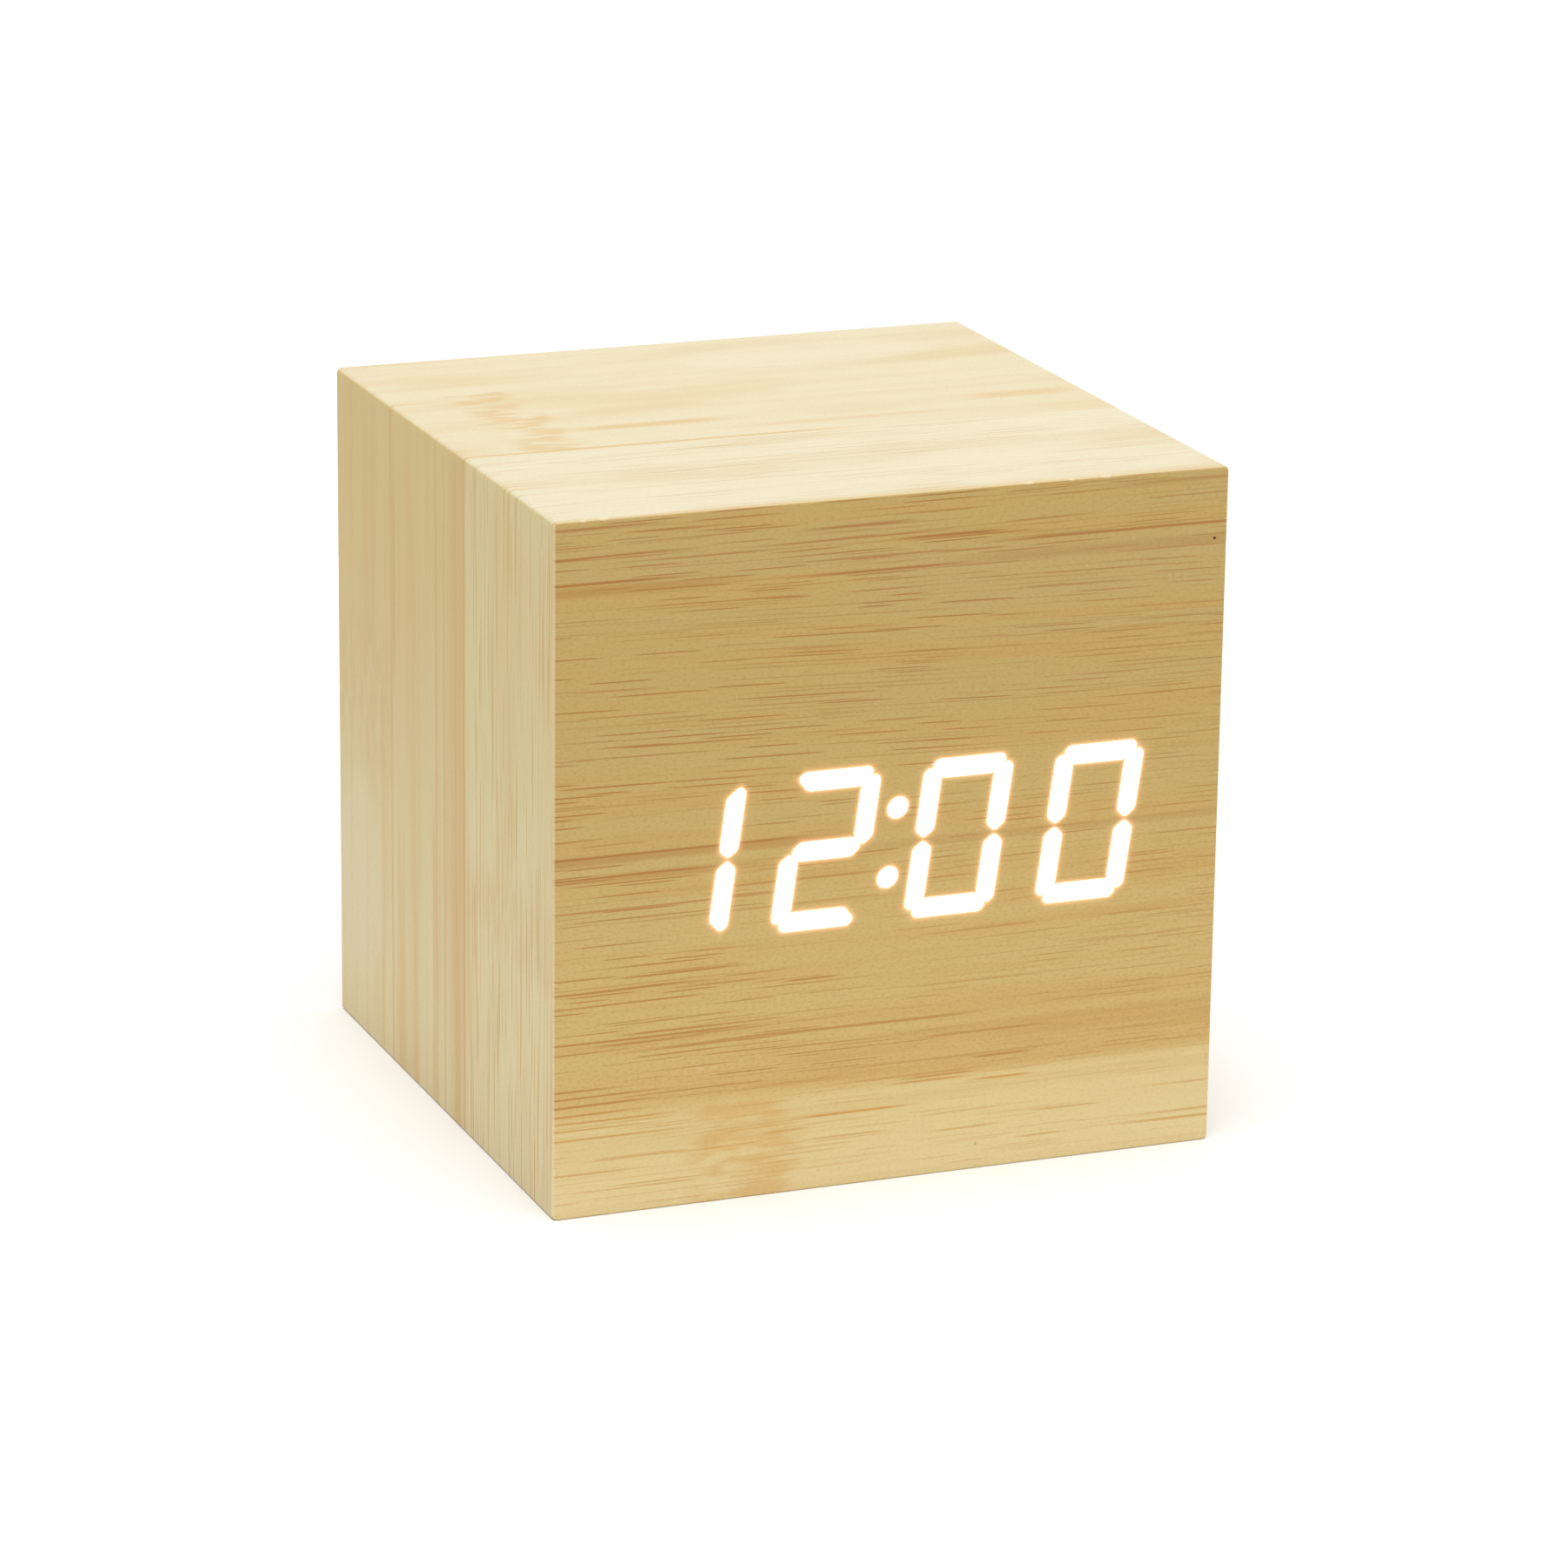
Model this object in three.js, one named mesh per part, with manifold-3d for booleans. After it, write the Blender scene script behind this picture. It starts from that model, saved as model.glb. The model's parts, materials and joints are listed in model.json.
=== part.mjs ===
// Cube-shaped table clock: fibreboard case under a printed wood film, LED display shining through.
// Millimetres. +Z is up, the display faces -Y, +X is to the right when looking at the display.
import * as THREE from 'three';
import { mergeVertices } from 'three/addons/utils/BufferGeometryUtils.js';
import Module from 'manifold-3d';

const wasm = await Module();
wasm.setup();

// Driving sizes of the case. The display, the main board and the battery bay fill its width.
const width = 63.5;
const depth = 61.5;
const height = 63.5;
const film = 0.4;
const board = 5;
const edgeRadius = 0.5;
const underEdgeRadius = 0.3;
const filmBevel = 0.2;
const glueLine = 0.3;
const seam = 0.1;

// Fits shared by the whole part
const looseFit = 0.3;
const closeFit = 0.2;
const hairFit = 0.1;

// Four-digit LED module
const displayRoom = 1.2;
const displayHeight = 19;
const displayDepth = 8;
const displayWall = 1.2;
const displayFace = 2.5;
const digitPitchShare = 0.2525;
const digitHalfHeight = 6.39;
const digitWidthShare = 0.2685;
const digitSlant = THREE.MathUtils.degToRad(7.85);
const segmentHalfWidth = 0.9;
const segmentEndGap = 0.25;
const segmentTipShift = 0.3;
const colonHeight = 3.18;
const colonRadius = 1;

// Circuit boards and what stands on them
const boardSheet = 1.6;
const mainBoardRoom = 1.35;
const mainBoardHeight = 34;
const mainBoardCorner = 1.5;
const solderGap = 0.5;
const pinRadius = 0.3;
const pinPitch = 2.54;
const pinsPerRow = 6;
const pinRowHalf = 7;
const spacerInset = 3;
const spacerZ = 14;
const spacerRadius = 2.4;

// Parts soldered to the main board, placed from its middle
const chipWidth = 10;
const chipDepth = 6.4;
const chipHeight = 2;
const chipDot = 0.6;
const chipDotInset = 1.3;
const legPitch = 1.27;
const legsPerSide = 7;
const legWidth = 0.4;
const legSheet = 0.2;
const legShoulder = 1.2;
const legRoot = 0.5;
const legBend = 0.7;
const legReach = 1.7;
const crystalRadius = 1;
const crystalLength = 6;
const crystalGap = 2;
const crystalCollar = 0.6;
const buzzerX = -16;
const buzzerRise = 6;
const buzzerRadius = 6;
const buzzerLength = 6;
const buzzerPort = 1.2;
const microphoneX = 16;
const microphoneRise = 9;
const microphoneRadius = 3;
const microphoneLength = 2.7;
const microphoneFelt = 2.2;
const microphoneRecess = 0.4;
const capacitorX = 14;
const capacitorDrop = 10;
const capacitorRadius = 2.5;
const capacitorLength = 7;
const capacitorGroove = 0.3;
const softEdge = 0.4;

// Screws
const screwRadius = 1;
const screwHeadRadius = 1.9;
const screwHeadHeight = 1.2;
const trayScrewLength = 6;
const panelScrewLength = 4;
const boardScrewLength = 5.6;
const panelCounterbore = 0.9;
const crossLength = 2.2;
const crossWidth = 0.5;
const crossDepth = 0.7;

// Rear control panel
const panelRise = 8.25;
const panelRecess = 1.2;
const panelSheet = 1.6;
const panelGap = 0.7;
const panelOpeningHeight = 15;
const panelFlange = 4.5;
const panelFlangeEdge = 3;
const panelCorner = 2;
const collarWall = 1.2;
const bossInset = 2.4;
const bossRadius = 1.9;
const boardScrewRadius = 0.7;
const buttonNames = ['set', 'up', 'down'];
const buttonPitch = 7.5;
const buttonRadius = 2.6;
const buttonFlangeRadius = 3.2;
const buttonFlange = 0.8;
const buttonStandOff = 1.1;
const buttonDish = 0.3;
const switchSide = 6;
const switchHeight = 3.6;
const plungerRadius = 1.7;
const plungerOut = 0.75;
const plungerIn = 1;
const switchWell = 1.8;

// Power inlet
const inletWidth = 7.4;
const inletHeight = 2.6;
const inletChamfer = 0.8;
const inletWall = 0.35;
const inletFloor = 0.8;
const tongueWidth = 4;
const tongueSheet = 0.6;

// Battery bay, three small cells side by side
const cellRadius = 5.25;
const nubRadius = 1.9;
const nubLength = 0.9;
const cellPitch = 11;
const springRoom = 3.6;
const sideRoom = 0.75;
const trayWall = 1;
const trayRoof = 1.2;
const doorLift = 0.3;
const doorSheet = 2;
const cellLift = 0.6;
const earX = 14;
const earWidth = 7;
const earReach = 5.4;
const earSheet = 2;
const contactSheet = 0.4;
const contactWidth = 8;
const contactHeight = 8.4;
const tabWidth = 2.4;
const tabReach = 1.2;
const springWire = 0.3;
const springTurns = 2.5;
const springBase = 3.2;
const springTip = 2;
const trayRibWidth = 2.4;
const trayRibRoom = 3.6;
const trayRibStop = 6;
const doorRibWidth = 1.6;
const doorRibHeight = 1.6;
const doorRibStop = 4;
const snapRidge = 0.2;
const snapLength = 16;
const notchRadius = 6;
const notchReach = 3;
const hingePin = 0.7;
const hingePlay = 0.08;

// Wires
const wireRadius = 0.65;
const ribbonWidth = 6;
const ribbonSheet = 0.8;
const ribbonX = -12;
const ribbonDrop = 12;
const ribbonPanelDrop = 4;
const ribbonBend = 15;
const leadInset = 5;
const redLeadDrop = 9;
const redLeadBend = 6;
const blackLeadDrop = 7;
const blackLeadRise = 10;
const blackLeadBend = 14;

// Places that follow from the sizes above
const frontFace = -depth / 2;
const rearFace = depth / 2;
const innerFilmX = width / 2 - film;
const innerX = innerFilmX - board;
const floorZ = film + board;
const ceilingZ = height - film - board;
const frontBoardOut = frontFace + film;
const frontBoardIn = frontBoardOut + board;
const rearBoardOut = rearFace - film;
const rearBoardIn = rearBoardOut - board;
const displayZ = height / 2;
const displayWidth = 2 * (innerX - displayRoom);
const digitPitch = displayWidth * digitPitchShare;
const digitHalfWidth = digitPitch * digitWidthShare;
const panelZ = displayZ + panelRise;
const mainBoardWidth = 2 * (innerX - mainBoardRoom);
const spacerX = mainBoardWidth / 2 - spacerInset;
const displayBack = frontBoardOut + displayDepth;
const mainFront = displayBack + solderGap;
const mainBack = mainFront + boardSheet;
const panelFace = rearFace - panelRecess;
const panelBack = panelFace - panelSheet;
const buttonRow = (buttonNames.length - 1) * buttonPitch + switchSide;
const panelOpeningWidth = 2 * (bossInset + bossRadius) + buttonRow + inletWidth + 3 * panelGap;
const bossX = panelOpeningWidth / 2 - bossInset;
const firstButtonX = -bossX + bossRadius + panelGap + switchSide / 2;
const inletX = bossX - bossRadius - panelGap - inletWidth / 2;
const buttonBase = panelBack - closeFit - buttonFlange;
const switchTop = buttonBase - plungerOut;
const switchBase = switchTop - switchHeight;
const buttonBoardFront = switchBase - boardSheet;
const cellCount = 3;
const bayLength = width - 2 * (film + board + sideRoom + trayWall);
const cellLength = bayLength - springRoom - hairFit - 2 * (hairFit + contactSheet);
const bayDepth = cellCount * cellPitch + closeFit * 2;
const trayHalfX = bayLength / 2 + trayWall;
const trayHalfY = bayDepth / 2 + trayWall;
const doorTop = doorLift + doorSheet;
const cellZ = doorTop + cellLift + cellRadius;
const bayRoof = cellZ + cellRadius + looseFit;
const trayTop = bayRoof + trayRoof;
const hingeRadius = doorSheet / 2;
const hingeY = -bayDepth / 2 + looseFit + hingeRadius;
const hingeZ = doorLift + hingeRadius;
const contactInner = bayLength / 2 - hairFit - contactSheet;

// Surface kinds
function surface(color, roughness, metalness) {
  return new THREE.MeshStandardMaterial({ color, roughness, metalness });
}
const bambooPrint = surface(0xcdae75, 0.5, 0);
const fibreboard = surface(0xa98254, 0.85, 0);
const whitePlastic = surface(0xe9e7e0, 0.5, 0);
const clearResin = surface(0xfff4d8, 0.2, 0);
const circuitGreen = surface(0x1d5a35, 0.45, 0);
const blackPlastic = surface(0x1a1a1c, 0.55, 0);
const brightSteel = surface(0xb9bcc0, 0.3, 1);
const springSteel = surface(0xc9c7c0, 0.3, 1);
const cellSleeve = surface(0x2f5f8a, 0.35, 0.2);
const brassPlate = surface(0xb6a04c, 0.35, 1);
const redSleeve = surface(0xa82018, 0.5, 0);
const blackSleeve = surface(0x202020, 0.5, 0);
const greySleeve = surface(0x9a9a9e, 0.5, 0);
const blueSleeve = surface(0x23304f, 0.4, 0);

// Solid bodies from geometry
function solid(geometry) {
  const bare = geometry.clone();
  bare.deleteAttribute('normal');
  bare.deleteAttribute('uv');
  const welded = mergeVertices(bare, 1e-5);
  const corners = [];
  for (let i = 0; i < welded.index.count; i += 3) {
    const [a, b, c] = welded.index.array.slice(i, i + 3);
    if (a !== b && b !== c && c !== a) corners.push(a, b, c);
  }
  const points = welded.attributes.position;
  const at = (i) => new THREE.Vector3().fromBufferAttribute(points, i);
  let volume = 0;
  for (let i = 0; i < corners.length; i += 3) {
    volume += at(corners[i]).dot(at(corners[i + 1]).cross(at(corners[i + 2])));
  }
  if (volume < 0) corners.reverse();
  return new wasm.Manifold(new wasm.Mesh({
    numProp: 3,
    vertProperties: new Float32Array(points.array),
    triVerts: new Uint32Array(corners),
  }));
}

function block(x0, x1, y0, y1, z0, z1) {
  const geometry = new THREE.BoxGeometry(x1 - x0, y1 - y0, z1 - z0);
  geometry.translate((x0 + x1) / 2, (y0 + y1) / 2, (z0 + z1) / 2);
  return solid(geometry);
}

function rodY(radius, x, z, y0, y1, sides = 24) {
  const geometry = new THREE.CylinderGeometry(radius, radius, y1 - y0, sides);
  geometry.translate(x, (y0 + y1) / 2, z);
  return solid(geometry);
}

function rodX(radius, y, z, x0, x1, sides = 24) {
  const geometry = new THREE.CylinderGeometry(radius, radius, x1 - x0, sides);
  geometry.rotateZ(Math.PI / 2);
  geometry.translate((x0 + x1) / 2, y, z);
  return solid(geometry);
}

function rodZ(radius, x, y, z0, z1, sides = 24) {
  const geometry = new THREE.CylinderGeometry(radius, radius, z1 - z0, sides);
  geometry.rotateX(Math.PI / 2);
  geometry.translate(x, y, (z0 + z1) / 2);
  return solid(geometry);
}

// An outline drawn in X and Z, given thickness along Y
function plateY(shape, y0, y1, bevel = 0) {
  const geometry = new THREE.ExtrudeGeometry(shape, {
    depth: y1 - y0 - 2 * bevel,
    bevelEnabled: bevel > 0,
    bevelThickness: bevel,
    bevelSize: bevel,
    bevelOffset: -bevel,
    bevelSegments: 2,
    curveSegments: 5,
  });
  geometry.rotateX(Math.PI / 2);
  geometry.translate(0, y1 - bevel, 0);
  return solid(geometry);
}

// An outline drawn in Y and Z, given length along X
function prismX(shape, x0, x1) {
  const geometry = new THREE.ExtrudeGeometry(shape, {
    depth: x1 - x0,
    bevelEnabled: false,
    curveSegments: 8,
  });
  geometry.rotateX(Math.PI / 2);
  geometry.rotateZ(Math.PI / 2);
  geometry.translate(x0, 0, 0);
  return solid(geometry);
}

function polygon(points) {
  return new THREE.Shape(points.map(([a, b]) => new THREE.Vector2(a, b)));
}

function roundedRectangle(x0, x1, z0, z1, radius) {
  const shape = new THREE.Shape();
  shape.absarc(x1 - radius, z1 - radius, radius, 0, Math.PI / 2);
  shape.absarc(x0 + radius, z1 - radius, radius, Math.PI / 2, Math.PI);
  shape.absarc(x0 + radius, z0 + radius, radius, Math.PI, Math.PI * 1.5);
  shape.absarc(x1 - radius, z0 + radius, radius, Math.PI * 1.5, Math.PI * 2);
  return shape;
}

function joined(pieces) {
  return pieces.reduce((whole, piece) => whole.add(piece));
}

function without(body, cutters) {
  return cutters.reduce((rest, cutter) => rest.subtract(cutter), body);
}

const clock = new THREE.Group();
clock.name = 'digital_alarm_clock';

function place(name, body, material) {
  const mesh = body.getMesh();
  const geometry = new THREE.BufferGeometry();
  geometry.setAttribute('position', new THREE.BufferAttribute(new Float32Array(mesh.vertProperties), 3));
  geometry.setIndex(new THREE.BufferAttribute(new Uint32Array(mesh.triVerts), 1));
  geometry.computeVertexNormals();
  const node = new THREE.Mesh(geometry, material);
  node.name = name;
  clock.add(node);
}

// A pan-head screw with a cross recess. Its head looks along +Y until the placing turns it.
function screw(length, radius, placing) {
  const outline = [
    [0, -length],
    [radius * 0.4, -length],
    [radius, -length + radius],
    [radius, 0],
    [screwHeadRadius, 0],
    [screwHeadRadius, screwHeadHeight * 0.5],
    [screwHeadRadius * 0.6, screwHeadHeight],
    [0, screwHeadHeight],
  ].map(([r, y]) => new THREE.Vector2(r, y));
  const recess = [[crossLength, crossWidth], [crossWidth, crossLength]].map(([x, z]) => {
    const bar = new THREE.BoxGeometry(x, crossDepth * 2, z);
    bar.translate(0, screwHeadHeight, 0);
    return solid(bar.applyMatrix4(placing));
  });
  return without(solid(new THREE.LatheGeometry(outline, 12).applyMatrix4(placing)), recess);
}

function facing(direction, x, y, z) {
  const turn = { rear: 0, front: Math.PI, up: Math.PI / 2 }[direction];
  return new THREE.Matrix4().makeRotationX(turn).setPosition(x, y, z);
}

// Openings that boards, films and fittings share
const panelHalfX = panelOpeningWidth / 2 + panelFlange;
const panelHalfZ = panelOpeningHeight / 2 + panelFlangeEdge;
const panelScrewX = panelOpeningWidth / 2 + panelFlange / 2;
const earY = trayHalfY + earReach / 2;
const mainScrewLength = boardSheet + (mainFront - frontBoardIn) + board * 0.7;
const mainScrewPlaces = [[-spacerX, displayZ + spacerZ], [spacerX, displayZ - spacerZ]];
const panelScrewPlaces = [-panelScrewX, panelScrewX];
const earPlaces = [-1, 1].flatMap((sideX) => [-1, 1].map((sideY) => [sideX * earX, sideY * earY]));

function panelOutline(grow) {
  return roundedRectangle(
    -panelHalfX - grow,
    panelHalfX + grow,
    panelZ - panelHalfZ - grow,
    panelZ + panelHalfZ + grow,
    panelCorner + grow,
  );
}

function panelOpening(y0, y1, grow) {
  const halfX = panelOpeningWidth / 2 + grow;
  const halfZ = panelOpeningHeight / 2 + grow;
  return block(-halfX, halfX, y0, y1, panelZ - halfZ, panelZ + halfZ);
}

function trayOpening() {
  const halfX = trayHalfX + looseFit;
  const halfY = trayHalfY + looseFit;
  return block(-halfX, halfX, -halfY, halfY, -1, floorZ + 1);
}

// Fibreboard case: four mitred boards between a front and a rear board
function buildCase() {
  const slip = glueLine * Math.SQRT1_2;
  const outerLow = film + slip;
  const outerHigh = height - film - slip;
  const innerLow = floorZ + slip;
  const innerHigh = ceilingZ - slip;
  const outerHalf = innerFilmX - slip;
  const innerHalf = innerX - slip;
  const pilotRadius = screwRadius + closeFit;

  const mitred = (points) => plateY(polygon(points), frontBoardIn, rearBoardIn);
  place('top_board', mitred([
    [-outerHalf, height - film], [-innerHalf, ceilingZ], [innerHalf, ceilingZ], [outerHalf, height - film],
  ]), fibreboard);
  const floorBoard = mitred([
    [-outerHalf, film], [outerHalf, film], [innerHalf, floorZ], [-innerHalf, floorZ],
  ]);
  const earPilots = earPlaces.map(([x, y]) =>
    rodZ(pilotRadius, x, y, floorZ - board * 0.9, floorZ + 1, 12));
  place('bottom_board', without(floorBoard, [trayOpening(), ...earPilots]), fibreboard);
  for (const [name, side] of [['left_board', -1], ['right_board', 1]]) {
    place(name, mitred([
      [side * innerFilmX, outerLow], [side * innerX, innerLow],
      [side * innerX, innerHigh], [side * innerFilmX, outerHigh],
    ]), fibreboard);
  }

  const windowX = displayWidth / 2 + closeFit;
  const windowZ = displayHeight / 2 + closeFit;
  const displayWindow = block(
    -windowX, windowX, frontFace, frontBoardIn + 1, displayZ - windowZ, displayZ + windowZ);
  const spacerPilots = mainScrewPlaces.map(([x, z]) =>
    rodY(pilotRadius, x, z, frontBoardIn - board * 0.8, frontBoardIn + 1, 12));
  const frontBoard = block(
    -innerFilmX, innerFilmX, frontBoardOut, frontBoardIn, film, height - film);
  place('front_board', without(frontBoard, [displayWindow, ...spacerPilots]), fibreboard);

  const panelPilots = panelScrewPlaces.map((x) =>
    rodY(pilotRadius, x, panelZ, rearBoardIn - 1, rearFace, 12));
  const rearBoard = block(-innerFilmX, innerFilmX, rearBoardIn, rearBoardOut, film, height - film);
  place('rear_board', without(rearBoard, [
    plateY(panelOutline(looseFit), panelBack, rearFace),
    panelOpening(rearBoardIn - 1, rearFace, 0),
    ...panelPilots,
  ]), fibreboard);
}

// Printed film: a front and a rear sheet, one sheet over both sides and the top, one underneath
function buildFilm() {
  const sheetOutline = roundedRectangle(-width / 2, width / 2, 0, height, edgeRadius);
  const spare = film + 2 * filmBevel;
  const around = width;
  const frontSheet = plateY(sheetOutline, frontFace, frontFace + spare, filmBevel);
  place('front_film', without(frontSheet, [
    block(-around, around, frontBoardOut, frontBoardOut + spare, -1, height + 1),
  ]), bambooPrint);

  // The wrapped sheet runs to the back edge and down to the underside
  const cornerX = width / 2 - edgeRadius;
  const footX = width / 2 - underEdgeRadius;
  const wrap = new THREE.Shape();
  wrap.moveTo(-innerFilmX, 0);
  wrap.absarc(-footX, underEdgeRadius, underEdgeRadius, Math.PI * 1.5, Math.PI, true);
  wrap.absarc(-cornerX, height - edgeRadius, edgeRadius, Math.PI, Math.PI / 2, true);
  wrap.absarc(cornerX, height - edgeRadius, edgeRadius, Math.PI / 2, 0, true);
  wrap.absarc(footX, underEdgeRadius, underEdgeRadius, 0, -Math.PI / 2, true);
  wrap.lineTo(innerFilmX, 0);
  wrap.lineTo(innerFilmX, height - film);
  wrap.lineTo(-innerFilmX, height - film);
  place('wrap_film', plateY(wrap, frontBoardOut, rearFace), bambooPrint);

  // The rear sheet and the lower sheet lie within it
  const within = innerFilmX - seam;
  const rearSheet = block(-within, within, rearBoardOut, rearFace, film + seam, height - film - seam);
  place('rear_film', without(rearSheet, [
    plateY(panelOutline(looseFit), rearBoardOut - 1, rearFace + 1),
  ]), bambooPrint);
  const lowerSheet = block(-within, within, frontBoardOut, rearFace, 0, film);
  place('bottom_film', without(lowerSheet, [trayOpening()]), bambooPrint);
}

// Outlines of the seven segments of four slanted digits and the two colon dots;
// at a digit's corners the segment tips lie nearer its outside
function segmentOutlines(inset) {
  const lean = Math.tan(digitSlant);
  const half = segmentHalfWidth - inset;
  const outlines = [];
  const bar = (x, z, reach, upright, lowerShift, upperShift) => {
    const tip = (shift) => reach + Math.abs(shift) - segmentEndGap - inset * Math.SQRT2;
    const corners = [
      ...[-half, upperShift, half].map((v) => [tip(upperShift) - Math.abs(v - upperShift), v]),
      ...[half, lowerShift, -half].map((v) => [Math.abs(v - lowerShift) - tip(lowerShift), v]),
    ];
    outlines.push(polygon(corners.map(([u, v]) => {
      const [dx, dz] = upright ? [v, u] : [u, v];
      return [x + dx + (z + dz) * lean, displayZ + z + dz];
    })));
  };
  for (const place of [-1.5, -0.5, 0.5, 1.5]) {
    const digitX = place * digitPitch;
    for (const level of [-1, 0, 1]) {
      const shift = level * segmentTipShift;
      bar(digitX, level * digitHalfHeight, digitHalfWidth, false, shift, shift);
    }
    for (const side of [-1, 1]) {
      const uprightX = digitX + side * digitHalfWidth;
      const shift = side * segmentTipShift;
      bar(uprightX, digitHalfHeight / 2, digitHalfHeight / 2, true, 0, shift);
      bar(uprightX, -digitHalfHeight / 2, digitHalfHeight / 2, true, shift, 0);
    }
  }
  for (const z of [-colonHeight, colonHeight]) {
    const dot = new THREE.Shape();
    dot.absarc(z * lean, displayZ + z, colonRadius - inset, 0, Math.PI * 2);
    outlines.push(dot);
  }
  return outlines;
}

// LED module: reflector with a slot per segment, resin lens with a finger in every slot, pin board
function buildDisplay() {
  const halfX = displayWidth / 2;
  const halfZ = displayHeight / 2;
  const hollowX = halfX - displayWall;
  const hollowZ = halfZ - displayWall;
  const faceBack = frontBoardOut + displayFace;
  const slots = segmentOutlines(0).map((outline) => plateY(outline, frontFace, faceBack + 1));
  place('display_housing', without(
    block(-halfX, halfX, frontBoardOut, displayBack, displayZ - halfZ, displayZ + halfZ),
    [
      block(-hollowX, hollowX, faceBack, displayBack + 1, displayZ - hollowZ, displayZ + hollowZ),
      ...slots,
    ],
  ), whitePlastic);

  const fillX = hollowX - looseFit;
  const fillZ = hollowZ - looseFit;
  const resinFront = faceBack + closeFit;
  const resinBack = displayBack - boardSheet - closeFit;
  const fingers = segmentOutlines(closeFit).map((outline) =>
    plateY(outline, frontBoardOut + hairFit, resinFront + closeFit));
  place('segment_lens', joined([
    block(-fillX, fillX, resinFront, resinBack, displayZ - fillZ, displayZ + fillZ),
    ...fingers,
  ]), clearResin);

  const pins = pinPlaces().map(([x, z]) =>
    rodY(pinRadius, x, z, displayBack - closeFit, mainBack + solderGap * 2, 8));
  place('display_board', joined([
    block(-fillX, fillX, displayBack - boardSheet, displayBack, displayZ - fillZ, displayZ + fillZ),
    ...pins,
  ]), circuitGreen);
}

function pinPlaces() {
  return Array.from({ length: pinsPerRow }, (_, i) => (i - (pinsPerRow - 1) / 2) * pinPitch)
    .flatMap((x) => [[x, displayZ - pinRowHalf], [x, displayZ + pinRowHalf]]);
}

// Main circuit board behind the display, and the parts soldered to its back
function buildMainBoard() {
  const halfX = mainBoardWidth / 2;
  const halfZ = mainBoardHeight / 2;
  const outline = roundedRectangle(-halfX, halfX, displayZ - halfZ, displayZ + halfZ, mainBoardCorner);
  const pinHoles = pinPlaces().map(([x, z]) =>
    rodY(pinRadius + looseFit, x, z, mainFront - 1, mainBack + 1, 8));
  const screwHoles = mainScrewPlaces.map(([x, z]) =>
    rodY(screwRadius + closeFit, x, z, frontBoardIn - 1, mainBack + 1, 12));
  const sheet = plateY(outline, mainFront, mainBack);
  place('main_board', without(sheet, [...pinHoles, ...screwHoles]), circuitGreen);
  mainScrewPlaces.forEach(([x, z], i) => {
    const sleeve = rodY(spacerRadius, x, z, frontBoardIn, mainFront, 16);
    place(`main_spacer_${i + 1}`, without(sleeve, [screwHoles[i]]), whitePlastic);
    const seat = facing('rear', x, mainBack, z);
    place(`main_screw_${i + 1}`, screw(mainScrewLength, screwRadius, seat), brightSteel);
  });

  // Clock chip with gull-wing legs above and below
  const chipHalfX = chipWidth / 2;
  const chipHalfZ = chipDepth / 2;
  const chipTop = mainBack + chipHeight;
  const foot = mainBack + hairFit;
  const shoulder = mainBack + legShoulder;
  const legs = [];
  for (const side of [-1, 1]) {
    const z = (reach) => displayZ + side * (chipHalfZ + reach);
    const legSide = polygon([
      [shoulder - legSheet, z(-legRoot)], [shoulder, z(-legRoot)],
      [shoulder, z(legBend)], [foot + legSheet, z(legBend + legSheet)],
      [foot + legSheet, z(legReach)], [foot, z(legReach)],
      [foot, z(legBend)], [shoulder - legSheet, z(legBend - legSheet)],
    ]);
    for (let i = 0; i < legsPerSide; i += 1) {
      const x = (i - (legsPerSide - 1) / 2) * legPitch;
      legs.push(prismX(legSide, x - legWidth / 2, x + legWidth / 2));
    }
  }
  const chipBody = block(-chipHalfX, chipHalfX, foot, chipTop, displayZ - chipHalfZ, displayZ + chipHalfZ);
  const dotX = chipDotInset - chipHalfX;
  const dotZ = displayZ + chipDotInset - chipHalfZ;
  const dot = rodY(chipDot, dotX, dotZ, chipTop - hairFit, chipTop + 1, 12);
  place('clock_chip', without(joined([chipBody, ...legs]), [dot]), blackPlastic);

  // Timing crystal, a small can lying on the board beside the chip
  const crystalY = mainBack + crystalRadius + hairFit;
  const crystalStart = chipHalfX + crystalGap;
  const crystalEnd = crystalStart + crystalLength;
  place('crystal', joined([
    rodX(crystalRadius, crystalY, displayZ, crystalStart, crystalEnd, 16),
    rodX(crystalRadius * 0.7, crystalY, displayZ, crystalEnd - closeFit, crystalEnd + crystalCollar, 16),
  ]), brightSteel);

  // Alarm buzzer with its sound port, microphone with its felt recess, smoothing capacitor with its groove
  const buzzerZ = displayZ + buzzerRise;
  const buzzerTop = mainBack + buzzerLength;
  place('buzzer', without(latheY([
    [0, mainBack], [buzzerRadius, mainBack], [buzzerRadius, buzzerTop - softEdge],
    [buzzerRadius - softEdge, buzzerTop], [0, buzzerTop],
  ], buzzerX, buzzerZ), [
    rodY(buzzerPort, buzzerX, buzzerZ, buzzerTop - buzzerLength / 3, buzzerTop + 1, 16),
  ]), blackPlastic);
  const microphoneZ = displayZ + microphoneRise;
  const microphoneTop = mainBack + microphoneLength;
  place('microphone', without(rodY(microphoneRadius, microphoneX, microphoneZ, mainBack, microphoneTop), [
    rodY(microphoneFelt, microphoneX, microphoneZ, microphoneTop - microphoneRecess, microphoneTop + 1),
  ]), brightSteel);
  const canTop = mainBack + capacitorLength;
  const groove = mainBack + capacitorLength * 0.15;
  place('capacitor', latheY([
    [0, mainBack], [capacitorRadius, mainBack], [capacitorRadius, groove - capacitorGroove],
    [capacitorRadius - capacitorGroove, groove], [capacitorRadius, groove + capacitorGroove],
    [capacitorRadius, canTop - softEdge], [capacitorRadius - softEdge, canTop], [0, canTop],
  ], capacitorX, displayZ - capacitorDrop), blueSleeve);
}

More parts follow.
